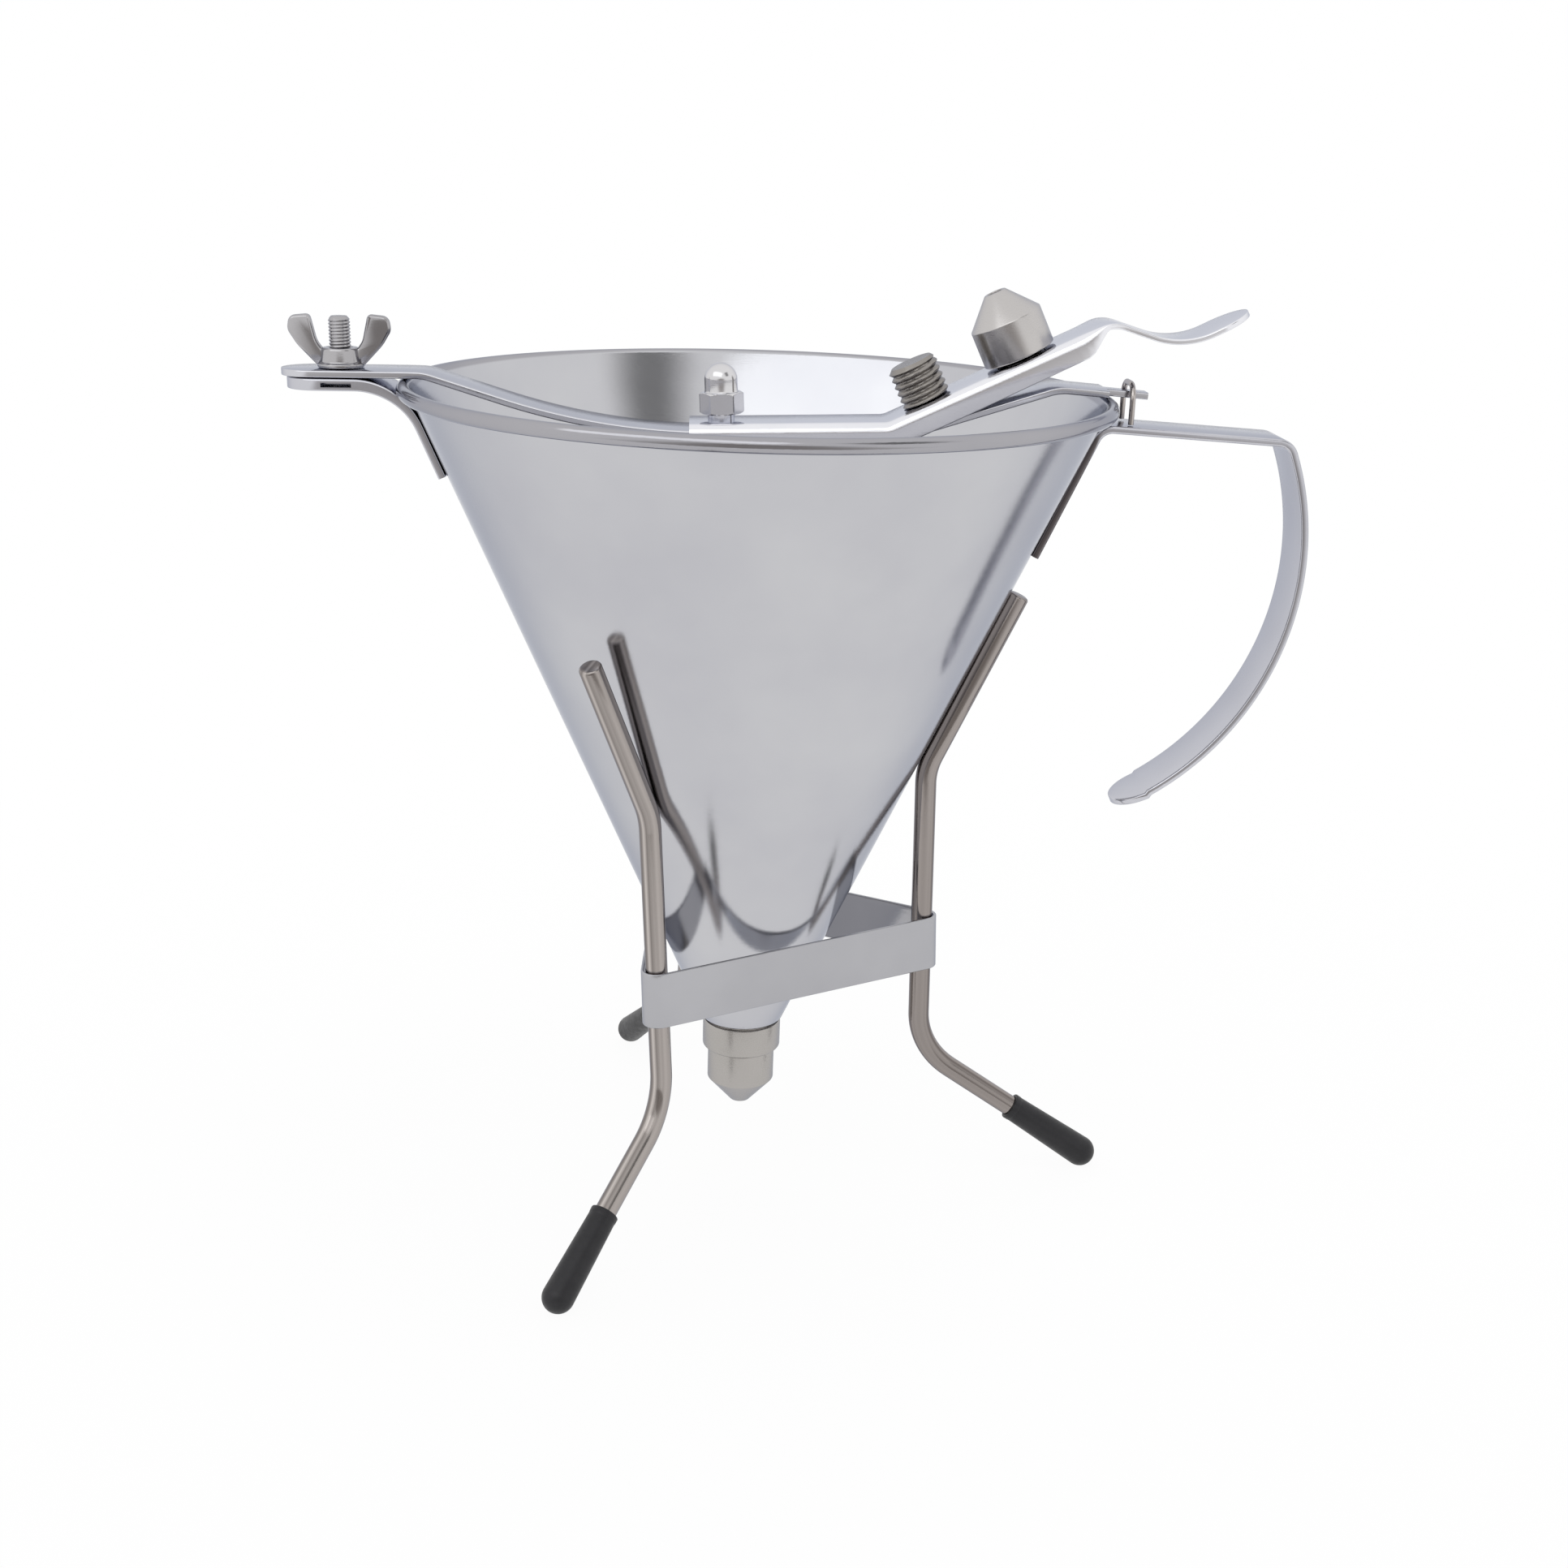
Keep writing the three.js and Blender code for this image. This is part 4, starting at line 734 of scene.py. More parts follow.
def rod_part(extra):
    """A bent rod with a rounded edge round its top."""
    arm = UPPER_ARM_LENGTH + extra
    top = (LEG_RADIUS + arm * math.sin(UPPER_ARM_ANGLE), UPPER_BEND_HEIGHT + arm * math.cos(UPPER_ARM_ANGLE))
    foot = (FOOT_REACH - FOOT_DIRECTION.x * CAP_FLOOR, FOOT_HEIGHT - FOOT_DIRECTION.y * CAP_FLOOR)
    path = bent_path([top, (LEG_RADIUS, UPPER_BEND_HEIGHT, UPPER_BEND_RADIUS),
                      (LOWER_BEND_RADIAL, LOWER_BEND_HEIGHT, LOWER_BEND_RADIUS), foot], 16)
    down = (path[1] - path[0]).normalized()
    path = [path[0] + down * below for below, cut in ROD_TOP] + path[1:]
    thinner = dict(zip(lengths_of(path), [cut for below, cut in ROD_TOP]))
    return sweep(path, lambda along, to_end: round_section(ROD_RADIUS - thinner.get(along, 0), 40))


def cap_part():
    """A thick lip at the mouth, a sleeve that widens a little and a round tip."""
    bore = ROD_RADIUS + GAP / 2
    profile = [(bore, -CAP_SLEEVE), (CAP_MOUTH_RADIUS + 0.15, -CAP_SLEEVE, 0.5),
               (CAP_MOUTH_RADIUS + 0.1, -CAP_SLEEVE + 1.6, 0.4), (CAP_MOUTH_RADIUS, -CAP_SLEEVE + 2.1, 0.4),
               (CAP_TIP_RADIUS, -1.5)]
    tip = arc(0, PI / 2, 14, CAP_TIP_RADIUS)[:-1] + [(0, CAP_TIP_RADIUS)]
    return lathe([(0, GAP - CAP_FLOOR), (bore, GAP - CAP_FLOOR)] + rounded(profile)[:-1] + tip, 48)


def flat_foot(part, matrix):
    """Presses whatever lies below the table onto it."""
    verts, faces = part
    inverse = matrix.inverted()
    out = []
    for v in verts:
        p = matrix @ Vector(v)
        p.z = max(p.z, 0)
        out.append(inverse @ p)
    return out, faces


def band_outline(reach):
    out = []
    for leg, heading in enumerate(LEG_HEADINGS):
        out += arc(heading - PI / 3, heading + PI / 3, 16, reach, direction(heading) * BAND_RADIAL)
        if leg == 1:
            # The leaning funnel pushes the side opposite the first rod out
            for share in [1 - s / 10 for s in range(1, 20)]:
                out.append((-BAND_RADIAL / 2 - reach - BAND_BOW * (1 - share * share),
                            BAND_RADIAL * math.sin(PI / 3) * share))
    return [Vector(point) for point in out]


def weld_dimples(reach):
    """The middles of the shallow dimples in the band's outside, two on each side of a corner."""
    dimples = []
    for heading in LEG_HEADINGS:
        for side in (-1, 1):
            corner = direction(heading) * BAND_RADIAL + direction(heading + side * PI / 3) * reach
            spot = corner + direction(heading + side * PI * 5 / 6) * WELD_ALONG
            dimples += [(spot, rise) for rise in (-WELD_RISE, WELD_RISE)]
    return dimples


def band_rows():
    """Heights over the band's middle from edge to edge, and how far each row lies in from the surface."""
    edge = arc(PI, PI * 3 / 2, 4, BAND_EDGE, (BAND_EDGE - BAND_HEIGHT / 2, BAND_EDGE))
    count = 15
    flat = BAND_HEIGHT - 2 * BAND_EDGE
    middle = [(flat * (s / count - 0.5), 0) for s in range(1, count)]
    return edge + middle + [(-h, inset) for h, inset in reversed(edge)]


def band_part():
    """Band wall as a closed loop with rounded edges."""
    inner = ROD_RADIUS + GAP + ROD_SLOPE * BAND_HEIGHT / 2
    base = band_outline(inner)
    outer = band_outline(inner + BAND_SHEET)
    points, outs = [], []
    for i in range(len(base)):
        n = (i + 1) % len(base)
        count = max(1, int((base[n] - base[i]).length / BAND_SPACING))
        for s in range(count):
            points.append(base[i].lerp(base[n], s / count))
            outs.append(outer[i].lerp(outer[n], s / count))
    rows = band_rows()
    dimples = weld_dimples(inner + BAND_SHEET)
    verts = []
    for line, other in ((outs, points), (points, outs)):
        for h, inset in rows:
            for p, q in zip(line, other):
                inward = (q - p).normalized()
                v = p + inward * min(inset, BAND_SHEET * 0.45)
                for centre, rise in dimples if line is outs else ():
                    d = math.hypot((p - centre).length, h - rise)
                    if d < WELD_RADIUS:
                        v = v + inward * WELD_DEPTH * (0.5 + 0.5 * math.cos(PI * d / WELD_RADIUS))
                verts.append((v.x, v.y, BAND_BOTTOM + BAND_HEIGHT / 2 + h))
    columns = len(points)
    layer = len(rows) * columns
    faces = ring_faces(len(rows), columns) + ring_faces(len(rows), columns, layer)
    for i in range(columns):
        n = (i + 1) % columns
        for row in (0, layer - columns):
            faces.append((row + i, row + n, layer + row + n, layer + row + i))
    return verts, faces


finish_mesh('band_detail', 'stand', BAND_STEEL, ['stand_band'], band_part(), STAND)
foot_tilt = turn(math.atan2(FOOT_DIRECTION.x, FOOT_DIRECTION.y), 'Y')
for leg, side in enumerate(('right', 'back', 'front')):
    place = STAND @ turn(LEG_HEADINGS[leg], 'Z')
    finish_mesh(f'rod_{side}', 'stand', LEG_STEEL[leg], [f'leg_rod_{side}'],
                rod_part(UPPER_ARM_EXTRA[leg]), place)
    foot = place @ move(FOOT_REACH, 0, FOOT_HEIGHT) @ foot_tilt
    finish_mesh(f'cap_{side}', 'stand', VINYL, [f'foot_cap_{side}'],
                flat_foot(cap_part(), foot), foot)


# Funnel

HANDLE_EDGE = 0.75
TAB_EDGE = 0.5
BAR_EDGE = 0.4
# How far the cutters reach past a sheet
CUT_MARGIN = 3
# Height of the stud's foot, in the clamp's frame
FOOT_MIDDLE = -GAP - TAB_SLOT_LEDGE - STUD_FOOT / 2 - GAP


def cone_part():
    """Two walls of the cone with the rolled bead between them."""
    offset = WALL_TOP_RADIUS - BEAD_CENTRE
    square = 1 + CONE_SLOPE ** 2
    root = math.sqrt((CONE_SLOPE * offset) ** 2 - square * (offset ** 2 - BEAD_RADIUS ** 2))
    meet = (-CONE_SLOPE * offset - root) / square
    start = math.atan2(meet, wall_radius(meet) - BEAD_CENTRE)
    bottom = -CONE_HEIGHT
    rows = [bottom + (meet - bottom) * s / 24 for s in range(1, 24)]
    profile = [(wall_radius(bottom) - 0.15, bottom), (wall_radius(bottom + 0.3), bottom + 0.3)]
    profile += [(wall_radius(z), z) for z in rows]
    profile += arc(start, PI - CONE_HALF_ANGLE, 32, BEAD_RADIUS, (BEAD_CENTRE, 0))
    profile += [(wall_radius(z) - WALL_RUN, z) for z in reversed(rows)]
    profile.append((wall_radius(bottom) - WALL_RUN, bottom))
    return lathe(profile, 288, closed=True)


def hub_part():
    """Neck with the valve's seat, collar and spigot."""
    neck = wall_radius(-CONE_HEIGHT) - WALL_RUN - GAP
    top = -CONE_HEIGHT + HUB_NECK_HEIGHT
    seat = HUB_SEAT_RADIUS - HUB_BORE_RADIUS
    root = THREAD_RADIUS - THREAD_DEPTH
    end = COLLAR_BOTTOM - SPIGOT_LENGTH
    profile = [
        (HUB_BORE_RADIUS, end, 0), (root, end, 0.3), (root, COLLAR_BOTTOM, 0),
        (COLLAR_RADIUS, COLLAR_BOTTOM, 0.7), (COLLAR_RADIUS, COLLAR_TOP, 0.3), (neck, COLLAR_TOP, 0),
        (neck, top, 0.2), (HUB_SEAT_RADIUS, top, 0), (HUB_BORE_RADIUS, top - seat, 0)]
    return lathe(rounded(profile), 128, closed=True)


def nozzle_part():
    bore = THREAD_RADIUS + GAP
    low = -NOZZLE_BODY - NOZZLE_CONE
    profile = [
        (bore, 0, 0), (NOZZLE_RADIUS, 0, 0.5), (NOZZLE_RADIUS, -NOZZLE_BODY, 0.6),
        (NOZZLE_TIP_RADIUS, low, 0.6), (NOZZLE_HOLE_RADIUS, low, 0.2),
        (NOZZLE_HOLE_RADIUS, -NOZZLE_BODY - NOZZLE_CONE / 2, 0), (bore, -SPIGOT_LENGTH - GAP, 0)]
    return lathe(rounded(profile), 128, closed=True)


def strap_middle(z):
    return wall_radius(z) + (GAP + STRIP / 2) / math.cos(CONE_HALF_ANGLE)


def handle_part():
    """Strap on the cone, arm, and grip round a wide arc."""
    grip = arc(GRIP_START, GRIP_END, 90, GRIP_RADIUS, (GRIP_CENTRE_X, -GRIP_CENTRE_DROP))
    start = Vector(grip[0])
    root = (strap_middle(-HANDLE_ARM_DROP), -HANDLE_ARM_DROP)
    fall = math.tan(HANDLE_ARM_FALL)
    lean = math.tan(GRIP_START)
    rise = (root[1] - fall * (start.x - root[0]) - start.y) / (1 - fall * lean)
    knee = (start.x - rise * lean, start.y + rise)
    path = bent_path([(strap_middle(-HANDLE_STRAP_DEPTH), -HANDLE_STRAP_DEPTH), (*root, HANDLE_ROOT_BEND),
                      (*knee, GRIP_BEND), grip[0]], 14) + [Vector(point) for point in grip[1:]]
    half = STRIP_WIDTH / 2
    return sweep(with_round_end(path, half), lambda along, to_end: strip_section(
        round_half_width(to_end, half), STRIP, HANDLE_EDGE))


def tab_part():
    """Strap on the cone, bent out under the crossbar, where it is thicker."""
    def plate(reach):
        return left_underside(reach) - GAP - TAB_THICKNESS / 2
    corner = strap_middle(plate(BEAD_CENTRE))
    path = bent_path([(-strap_middle(-TAB_STRAP_DEPTH), -TAB_STRAP_DEPTH), (-corner, plate(corner), TAB_BEND),
                      (-TAB_END, plate(TAB_END))], 24)
    half = STRIP_WIDTH / 2
    strap_run = (path[1] - path[0]).length

    def section(along, to_end):
        growth = eased(along, strap_run, strap_run + TAB_BEND)
        thickness = STRIP + (TAB_THICKNESS - STRIP) * growth
        return strip_section(round_half_width(to_end, half), thickness, TAB_EDGE)
    return sweep(with_round_end(path, half), section)


def eye_part():
    """Wire loop over the crossbar's tongue."""
    top = BAR_BOTTOM + BAR + EYE_SLACK + EYE_WIRE_RADIUS
    arm_top = -HANDLE_ARM_DROP + STRIP / 2 - (EYE_X - WALL_TOP_RADIUS) * math.tan(HANDLE_ARM_FALL)
    path = bent_path([(-EYE_HALF_WIDTH, arm_top + GAP), (-EYE_HALF_WIDTH, top, EYE_BEND),
                      (EYE_HALF_WIDTH, top, EYE_BEND), (EYE_HALF_WIDTH, arm_top + GAP)], 14)
    return sweep(path, lambda along, to_end: round_section(EYE_WIRE_RADIUS, 24))


def bar_part():
    """Crossbar from its narrow tongue over the dip to its round left end."""
    mid = BAR / 2
    high = BAR_BOTTOM + mid
    low = high - BAR_DIP
    left_dip = -BAR_LEFT_CREST + BAR_DIP / math.tan(BAR_LEFT_SLOPE)
    rise, fall = math.tan(BAR_RIGHT_SLOPE), math.tan(BAR_RIGHT_FALL)

    def right_height(x):
        return high - (x - BEAD_CENTRE) * fall
    right_crest = (BAR_DIP + BEAD_CENTRE * fall + BAR_RIGHT_FOOT * rise) / (rise + fall)
    path = bent_path([
        (TONGUE_END, right_height(TONGUE_END)), (right_crest, right_height(right_crest), BAR_CREST_BEND),
        (BAR_RIGHT_FOOT, low, BAR_RIGHT_FOOT_RADIUS),
        (left_dip, low, BAR_LEFT_SAG_RADIUS), (-BAR_LEFT_CREST, high, BAR_CREST_BEND),
        (-BEAD_CENTRE, high, BAR_CREST_BEND), (-BAR_LEFT_END, left_underside(BAR_LEFT_END) + mid)], 20)
    # Two close stations at the shoulder, between which the tongue widens
    path[1:1] = [Vector((BAR_SHOULDER + d, right_height(BAR_SHOULDER + d))) for d in (0.25, 0)]
    tongue = TONGUE_END - BAR_SHOULDER - 0.1
    half = BAR_WIDTH / 2
    return sweep(with_round_end(path, half), lambda along, to_end: strip_section(
        TONGUE_WIDTH / 2 if along < tongue else round_half_width(to_end, half), BAR, BAR_EDGE))


def hole(radius, low, high, matrix):
    return *lathe([(0, low), (radius, low), (radius, high), (0, high)], 64), matrix


def clamp_bar(length, section):
    """A short bar across the stud's axis, at the height of its foot."""
    ends = [Vector((-length / 2, FOOT_MIDDLE)), Vector((length / 2, FOOT_MIDDLE))]
    return sweep(ends, lambda along, to_end: section)


low_bar = BAR_BOTTOM + BAR / 2 - BAR_DIP
bar_cuts = [hole(PISTON_RADIUS + PISTON_SLOT_SLACK, low_bar - CUT_MARGIN, low_bar + CUT_MARGIN,
                 FUNNEL @ move(-PISTON_OFFSET, 0, 0)),
            hole(STUD_RADIUS + GAP, -CUT_MARGIN, BAR + CUT_MARGIN, CLAMP)]
tab_slot = clamp_bar(STUD_FOOT_LENGTH + 2 * GAP, strip_section(STRIP_WIDTH, STUD_FOOT + 2 * GAP, 0.3))
tab_cuts = [(*tab_slot, CLAMP), hole(STUD_RADIUS + GAP, FOOT_MIDDLE, CUT_MARGIN, CLAMP)]

finish_mesh('cone_detail', 'funnel', SHEET_STEEL, ['funnel_cone'], cone_part(), FUNNEL, 50)
finish_mesh('hub_detail', 'funnel', TURNED_STEEL, ['outlet_hub'], hub_part(), FUNNEL)
finish_mesh('nozzle_detail', 'outlet_tip', TURNED_STEEL, ['outlet_nozzle'], nozzle_part(),
            FUNNEL @ move(0, 0, COLLAR_BOTTOM - GAP))
finish_mesh('handle_detail', 'funnel', HANDLE_STEEL, ['handle'], handle_part(), FUNNEL, 40)
finish_mesh('tab_detail', 'funnel', TAB_STEEL, ['tab_bracket'], tab_part(),
            FUNNEL, 40, tab_cuts)
finish_mesh('eye_detail', 'funnel', ROD_STEEL, ['wire_eye'], eye_part(),
            FUNNEL @ move(EYE_X, 0, 0) @ turn(PI / 2, 'Z'))
finish_mesh('bar_detail', 'funnel', BAR_STEEL, ['crossbar'], bar_part(),
            FUNNEL, 40, bar_cuts)


# Clamp

# Corners of a wing in shares of its reach and height, each with its bend radius
WING_CORNERS = [(0.26, 0.04, 0), (0.46, 0.03, 1.2), (0.83, 0.41, 12), (1.01, 0.7, 3), (0.97, 0.97, 4.5),
                (0.56, 1.01, 1.4), (0.44, 0.5, 8), (0.34, 0.36, 1), (0.26, 0.36, 0)]
# Where the wing gets thinner, and its shares of WING_THICKNESS before and after that
WING_ROOT = 0.6
WING_THICKNESSES = (1.15, 0.95)
WING_RIM = 0.75


def stud_part():
    shank = thread(FOOT_MIDDLE + STUD_FOOT / 3, BAR + STUD_REACH, STUD_RADIUS, depth=0.3, pitch=0.9,
                   around=48, per_pitch=8, chamfer=0.9)
    return merged(shank, clamp_bar(STUD_FOOT_LENGTH, strip_section(STUD_FOOT_WIDTH / 2, STUD_FOOT, 0.2, 2)))


def wing_part(side):
    """One wing: a plate with a rounded rim, thicker where it leaves the hub; the sides are 1 and -1."""
    reach = WING_SPAN / 2
    line = rounded([(reach * x, WING_HEIGHT * z, r) for x, z, r in WING_CORNERS], 6)
    verts = []
    layers = 9
    for layer in range(layers):
        angle = PI * (layer / (layers - 1) - 0.5)
        y = WING_THICKNESS / 2 * math.sin(angle)
        inset = WING_RIM * (1 - math.cos(angle))
        for i, p in enumerate(line):
            tangent = (Vector(line[(i + 1) % len(line)]) - Vector(line[i - 1])).normalized()
            p = Vector(p) + Vector((-tangent.y, tangent.x)) * inset
            growth = WING_THICKNESSES[p.x >= reach * WING_ROOT]
            verts.append((side * p.x, side * y * growth, p.y))
    return verts, capped_faces(layers, len(line))


def wing_hub():
    bore = STUD_RADIUS + GAP / 3
    profile = [(bore, 0, 0), (WING_HUB_RADIUS, 0, 0.25), (WING_HUB_RADIUS, WING_HUB_FLANGE, 0.35),
               (WING_HUB_TOP_RADIUS + 0.3, WING_HUB_FLANGE + 0.5, 0.5),
               (WING_HUB_TOP_RADIUS, WING_HUB_HEIGHT, 0.8), (bore + 0.5, WING_HUB_HEIGHT, 0.2),
               (bore, WING_HUB_HEIGHT - 0.5, 0)]
    return lathe(rounded(profile), 64, closed=True)


finish_mesh('stud_detail', 'funnel', NUT_STEEL, ['clamp_stud'], stud_part(), CLAMP, 50)
finish_mesh('wing_detail', 'wing', NUT_STEEL, ['wing_nut'],
            merged(wing_hub(), wing_part(1), wing_part(-1)), CLAMP @ move(0, 0, BAR + GAP), 45)


# Lever

# Where along the lever, from its crest, the flanges run out and the thumb tab takes over
FLANGE_OUT = (-7.5, -1)
THUMB_IN = (-5, 4)
TAB_FOLD = 0.45


def lever_section(half, flange, fold, steps=6):
    """A folded channel, open below."""
    top = LEVER_UNDER + SHEET
    foot = top - flange
    inner = max(fold - SHEET, 0)
    edge = min(0.35, SHEET * 0.3)
    right = [(half - edge, foot), (half - 0.3 * edge, foot + 0.3 * edge), (half, foot + edge)]
    right += arc(0, PI / 2, steps, fold, (half - fold, top - fold))
    inside = arc(PI / 2, 0, steps, inner, (half - SHEET - inner, top - SHEET - inner))
    inside += [(half - SHEET, foot + edge * 0.6), (half - SHEET + edge * 0.6, foot)]
    left = [(-u, v) for u, v in reversed(right)]
    left_inside = [(-u, v) for u, v in reversed(inside)]
    return right + left + left_inside + inside


def lever_part():
    """Channel that runs up the ramp and out into a flat thumb tab at the crest."""
    path = bent_path([(-LEVER_LEFT_END - FULCRUM_X, 0), (*BEND, LEVER_BEND_RADIUS),
                      (*CREST, THUMB_CREST_RADIUS), (*TROUGH, THUMB_TROUGH_RADIUS), THUMB_END], 18)
    half_tab = TAB_WIDTH / 2
    path = with_round_end(densified(path, 2), half_tab)
    lengths = lengths_of(path)

    def length_at(spot):
        return lengths[min(range(len(path)), key=lambda i: (path[i] - Vector(spot)).length)]
    crest_at, bend_at = length_at(CREST), length_at(BEND)

    def section(along, to_end):
        rise = part_way(along, bend_at, crest_at)
        closed = part_way(along - crest_at, *FLANGE_OUT)
        flange = LEVER_FLANGE + (LEVER_FLANGE_END - LEVER_FLANGE) * rise ** 1.5
        flange = flange + (SHEET - flange) * closed
        fold = LEVER_FOLD + (TAB_FOLD - LEVER_FOLD) * closed
        half = LEVER_WIDTH / 2 + (half_tab - LEVER_WIDTH / 2) * eased(along - crest_at, *THUMB_IN)
        if to_end < half_tab:
            half = max(min(half, round_half_width(to_end, half_tab)), 0.4)
        return lever_section(half, flange, min(fold, half * 0.9))
    return sweep(path, section)


def nozzle_stud(name, node, along, length, around, per_pitch, chamfer):
    part = thread(0, length, THREAD_RADIUS, THREAD_DEPTH, THREAD_PITCH, around, per_pitch, chamfer)
    finish_mesh(name, 'trigger', STUD_STEEL, [node], part, on_ramp(along, GAP), 30)


lever_slot = hole(PISTON_RADIUS + PISTON_SLOT_SLACK, -CUT_MARGIN, LEVER_UNDER + SHEET + CUT_MARGIN,
                  LEVER @ move(-PISTON_OFFSET - FULCRUM_X - LEVER_SLOT_SHIFT, 0, 0))
finish_mesh('lever_detail', 'trigger', LEVER_STEEL, ['lever'], lever_part(),
            LEVER, 32, [lever_slot])
nozzle_stud('bare_stud_detail', 'bare_nozzle_stud', BARE_STUD_ALONG, STUD_LENGTH,
            around=72, per_pitch=14, chamfer=1.1)
nozzle_stud('spare_stud_detail', 'spare_nozzle_stud', SPARE_STUD_ALONG, SPIGOT_LENGTH - SPARE_SLACK,
            around=48, per_pitch=10, chamfer=0.6)
finish_mesh('spare_nozzle_detail', 'spare_tip', SPARE_STEEL, ['spare_nozzle'], nozzle_part(),
            on_ramp(SPARE_STUD_ALONG, GAP + SPARE_SLACK) @ turn(PI, 'X'))


# Piston

ROD_EDGE = 0.3
ROD_IN_NUT = 1.5
NUT_AROUND = 96
NUT_ANGLES = [2 * PI * k / NUT_AROUND for k in range(NUT_AROUND)]
NUT_FACE_INSET = 0.1
NUT_CORNER_CUT = 0.12
NUT_EDGE_HEIGHTS = (0, 0.15, 0.3, 0.45, 0.6, 0.9)
SPRING_TOP = BAR_UNDER_Z - GAP - SPRING_WIRE_RADIUS


def hexagon_row(z):
    """Ring of radii round the hexagon, drawn in by a cone of 30 degrees near its two faces."""
    cone = NUT_FLATS / 2 - NUT_FACE_INSET + min(z, NUT_HEX - z) / math.tan(rad(30))
    limit = min(NUT_FLATS / math.sqrt(3) - NUT_CORNER_CUT, cone)
    return [min(NUT_FLATS / 2 / math.cos(a % (PI / 3) - PI / 6), limit) for a in NUT_ANGLES]


def acorn_part():
    """Hexagon with chamfered corners, a short neck and a dome."""
    edge = NUT_EDGE_HEIGHTS[-1]
    heights = list(NUT_EDGE_HEIGHTS) + [edge + (NUT_HEX - 2 * edge) * s / 6 for s in range(1, 7)]
    heights += [NUT_HEX - h for h in reversed(NUT_EDGE_HEIGHTS[:-1])]
    rows = [(hexagon_row(z), z) for z in heights]
    top = NUT_HEX + NUT_DOME
    dome = [(NUT_DOME_RADIUS + 0.15, NUT_HEX + 0.02), (NUT_DOME_RADIUS, NUT_HEX + 0.5)]
    dome += arc(0, PI / 2, 18, NUT_DOME_RADIUS, (0, top - NUT_DOME_RADIUS))[:-1]
    rows += [([r] * NUT_AROUND, z) for r, z in dome]
    verts = [polar(r, angle, z) for radii, z in rows for r, angle in zip(radii, NUT_ANGLES)]
    tip = len(verts)
    verts.append((0, 0, top))
    last = tip - NUT_AROUND
    faces = ring_faces(len(rows), NUT_AROUND)
    faces += [(last + k, last + (k + 1) % NUT_AROUND, tip) for k in range(NUT_AROUND)]
    faces.append(tuple(reversed(range(NUT_AROUND))))
    return verts, faces


def spring_part(per_curl=28, sides=12):
    steps = SPRING_CURLS * per_curl
    verts = []
    for s in range(steps + 1):
        angle = 2 * PI * s / per_curl
        z = SPRING_TOP - SPRING_LENGTH * s / steps
        for u, v in round_section(SPRING_WIRE_RADIUS, sides):
            verts.append(polar(SPRING_RADIUS + u, angle, z + v))
    return verts, capped_faces(steps + 1, sides)


rod_low = PLUG_BOTTOM + PLUG_HEIGHT - PLUG_BORE + GAP
rod_top = NUT_BOTTOM + ROD_IN_NUT
rod_profile = rounded([(0, rod_low), (PISTON_RADIUS, rod_low, ROD_EDGE), (PISTON_RADIUS, rod_top, ROD_EDGE),
                       (0, rod_top)])
finish_mesh('piston_rod_detail', 'piston', ROD_STEEL, ['piston_rod'],
            lathe(rod_profile, 48), PISTON)
finish_mesh('acorn_detail', 'piston', DOME_STEEL, ['acorn_nut'], acorn_part(),
            PISTON @ move(0, 0, NUT_BOTTOM), 28)
spring = finish_mesh('spring_detail', 'funnel', ROD_STEEL, ['return_spring'],
                     spring_part(), PISTON)
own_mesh(spring)

for node, material in (('valve_plug', TURNED_STEEL), ('plug_seal', RUBBER), ('spring_collar', TURNED_STEEL),
                       ('fulcrum_pin', TURNED_STEEL)):
    solid = frame["nodes"][node]
    solid.data.materials.clear()
    solid.data.materials.append(material)


# Floor, world, lights and camera, in metres

WHITE = (1, 1, 1, 1)
FLOOR_REACH = 3
FLOOR_TONE = (0.9, 0.9, 0.9, 1)
WORLD_LIGHT = 0.7
# Distances from the floor's middle between which shadows fade out
SHADOW_START = 0.16
SHADOW_END = 0.55
SHADOW_HIDDEN = 0.95
RIM_MIDDLE = Vector((-0.012, 0, 0.24))
# The camera, solved from the photo: lengths in pixels, place in millimetres from the stand's axis
FOCAL_PIXELS = 2467.2
PHOTO_WIDTH = 1932
SENSOR_WIDTH = 36
CAMERA_PLACE = Vector((-9.693, -567.28, 308.01))
# Yaw, pitch and roll
CAMERA_TURN = (0.033701, 0.31258, -0.011237)


def seen_ray(tree):
    """1 for a ray from the camera, from a reflection or through something clear."""
    rays = add(tree, 'ShaderNodeLightPath').outputs
    seen = rays['Is Camera Ray']
    for ray in ('Is Glossy Ray', 'Is Transmission Ray'):
        seen = add(tree, 'ShaderNodeMath', {0: seen, 1: rays[ray]}, operation='MAXIMUM').outputs[0]
    return seen


def mixed(tree, share, plain, seen, output):
    mix = add(tree, 'ShaderNodeMixShader', {0: share, 1: plain.outputs[0], 2: seen.outputs[0]})
    add(tree, output, {0: mix.outputs[0]})


def card(name, width, height):
    """A flat rectangle, and the empty node tree of its material."""
    w, h = width / 2, height / 2
    mesh = bpy.data.meshes.new(name)
    mesh.from_pydata([(-w, -h, 0), (w, -h, 0), (w, h, 0), (-w, h, 0)], [], [(0, 1, 2, 3)])
    material, tree = new_material(name)
    mesh.materials.append(material)
    return add_object(name, mesh), tree


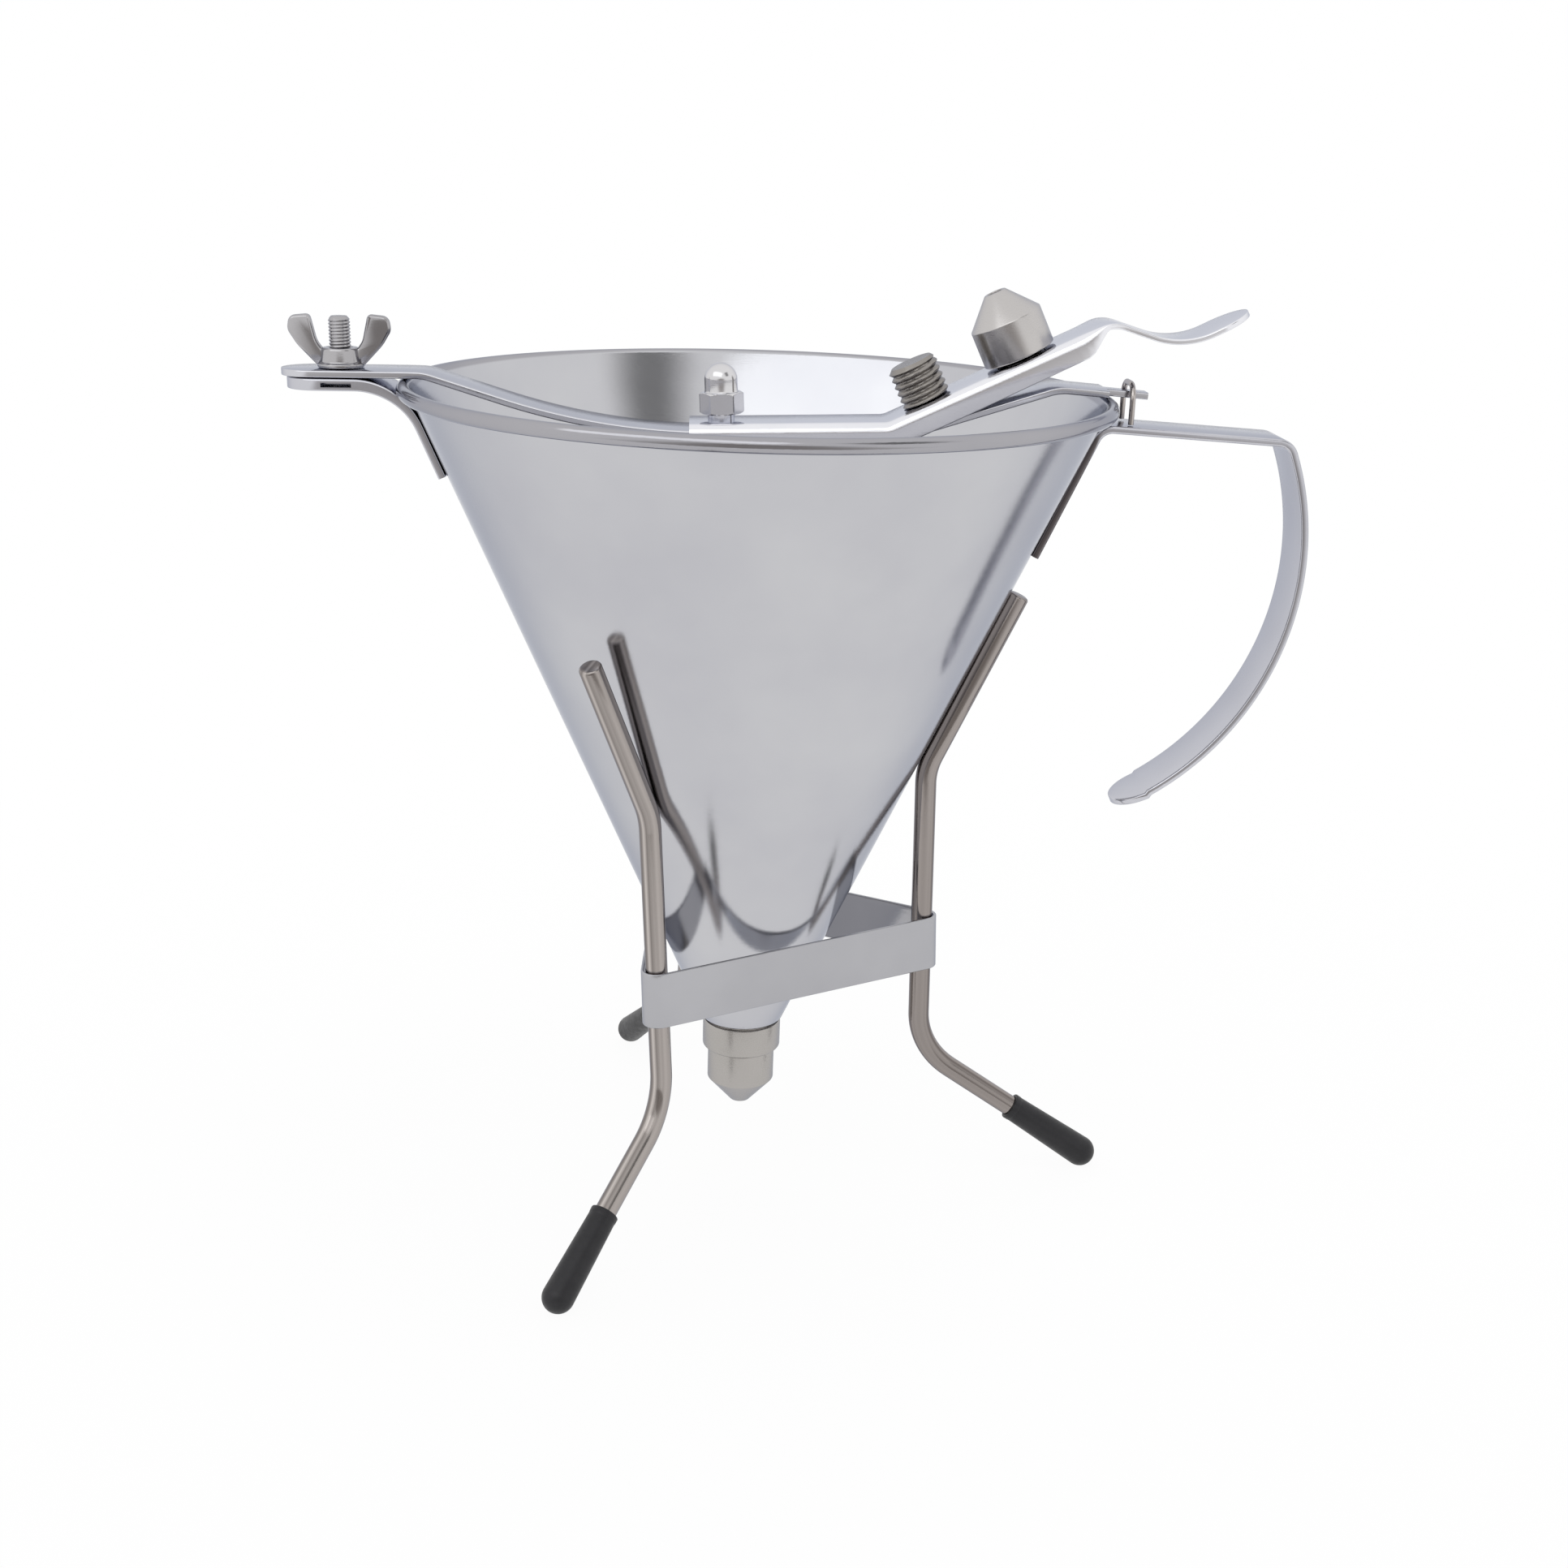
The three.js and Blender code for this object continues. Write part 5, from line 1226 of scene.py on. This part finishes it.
def floor():
    """White where it is seen, apart from a faint shadow, and a pale surface to the lights."""
    piece, tree = card('floor', 2 * FLOOR_REACH, 2 * FLOOR_REACH)
    plain = add(tree, 'ShaderNodeBsdfDiffuse', {'Color': FLOOR_TONE})
    glow = add(tree, 'ShaderNodeEmission', {'Color': WHITE, 'Strength': 1})
    away = add(tree, 'ShaderNodeVectorMath', {0: object_place(tree)}, operation='LENGTH')
    clear = ranged(tree, away.outputs['Value'], SHADOW_START, SHADOW_END, SHADOW_HIDDEN, 1)
    share = add(tree, 'ShaderNodeMath', {0: seen_ray(tree), 1: clear}, operation='MULTIPLY')
    mixed(tree, share.outputs[0], plain, glow, 'ShaderNodeOutputMaterial')


def world():
    """White where it is seen, and dimmer as a light."""
    scene = bpy.context.scene
    scene.world = bpy.data.worlds.new('studio')
    tree = node_tree(scene.world)
    light = add(tree, 'ShaderNodeBackground', {'Color': WHITE, 'Strength': WORLD_LIGHT})
    seen = add(tree, 'ShaderNodeBackground', {'Color': WHITE, 'Strength': 1})
    mixed(tree, seen_ray(tree), light, seen, 'ShaderNodeOutputWorld')
    scene.view_settings.view_transform = 'Standard'


def aim(piece, spot, target):
    piece.location = spot
    piece.rotation_euler = (Vector(target) - Vector(spot)).to_track_quat('-Z', 'Y').to_euler()


def lamp(name, spot, target, size, watts, colour=(1, 1, 1), mirrored=True):
    data = bpy.data.lights.new(name, 'AREA')
    data.shape = 'RECTANGLE'
    data.size, data.size_y = size
    data.energy = watts
    data.color = colour
    piece = add_object(name, data)
    aim(piece, spot, target)
    piece.visible_glossy = mirrored


def towards(azimuth, elevation, distance):
    """A spot seen from the funnel's rim; azimuth 0 is +Y and 90 degrees is +X."""
    a, e = rad(azimuth), rad(elevation)
    out = Vector((math.sin(a) * math.cos(e), math.cos(a) * math.cos(e), math.sin(e)))
    return RIM_MIDDLE + out * distance


def backdrop_card(name, spot, target, size, low):
    """A card of the studio that only reflections show, darkest along its middle."""
    piece, tree = card(name, *size)
    aim(piece, spot, target)
    half = size[0] / 2
    axes = add(tree, 'ShaderNodeSeparateXYZ', {0: object_place(tree)})
    side = add(tree, 'ShaderNodeMath', {0: axes.outputs['X']}, operation='ABSOLUTE')
    fade = ranged(tree, side.outputs[0], half * 0.15, half)
    surface(tree, {'Color': colours(tree, fade, low, (1, 1, 1), 0, 1)}, 'ShaderNodeEmission')
    piece.visible_camera = piece.visible_diffuse = piece.visible_shadow = False


def camera():
    data = bpy.data.cameras.new('camera')
    data.sensor_fit = 'HORIZONTAL'
    data.sensor_width = SENSOR_WIDTH
    data.lens = FOCAL_PIXELS / PHOTO_WIDTH * SENSOR_WIDTH
    data.clip_start = 0.01
    data.clip_end = 50
    piece = add_object('camera', data)
    yaw, pitch, roll = CAMERA_TURN
    forward = Vector((math.sin(yaw) * math.cos(pitch), math.cos(yaw) * math.cos(pitch), -math.sin(pitch)))
    right = Vector((math.cos(yaw), -math.sin(yaw), 0))
    up = right.cross(forward)
    tilted = right * math.cos(roll) + up * math.sin(roll)
    upright = up * math.cos(roll) - right * math.sin(roll)
    turned = Matrix((tilted, upright, -forward)).transposed().to_4x4()
    piece.matrix_world = Matrix.Translation((CAMERA_PLACE + SHIFT) * MM) @ turned
    bpy.context.scene.camera = piece


floor()
world()
lamp('key', towards(-151, 41, 1.15), towards(0, 0, 0), (1.36, 0.6), 1.8, (0.95, 0.98, 1))
lamp('top', (0.25, -0.1, 1.25), (0, 0, 0.16), (0.5, 0.5), 3, mirrored=False)
lamp('back', (0, 0.9, 0.9), (0, 0, 0.16), (1, 0.5), 3, mirrored=False)
backdrop_card('side_card', towards(131.5, 36, 1.6), towards(0, 0, 0), (1.04, 0.7), (0.28, 0.28, 0.28))
backdrop_card('front_card', (-0.02, -0.69, 0.225), (-0.02, -0.1, 1.035), (1.1, 0.77), (0.4, 0.38, 0.37))
camera()
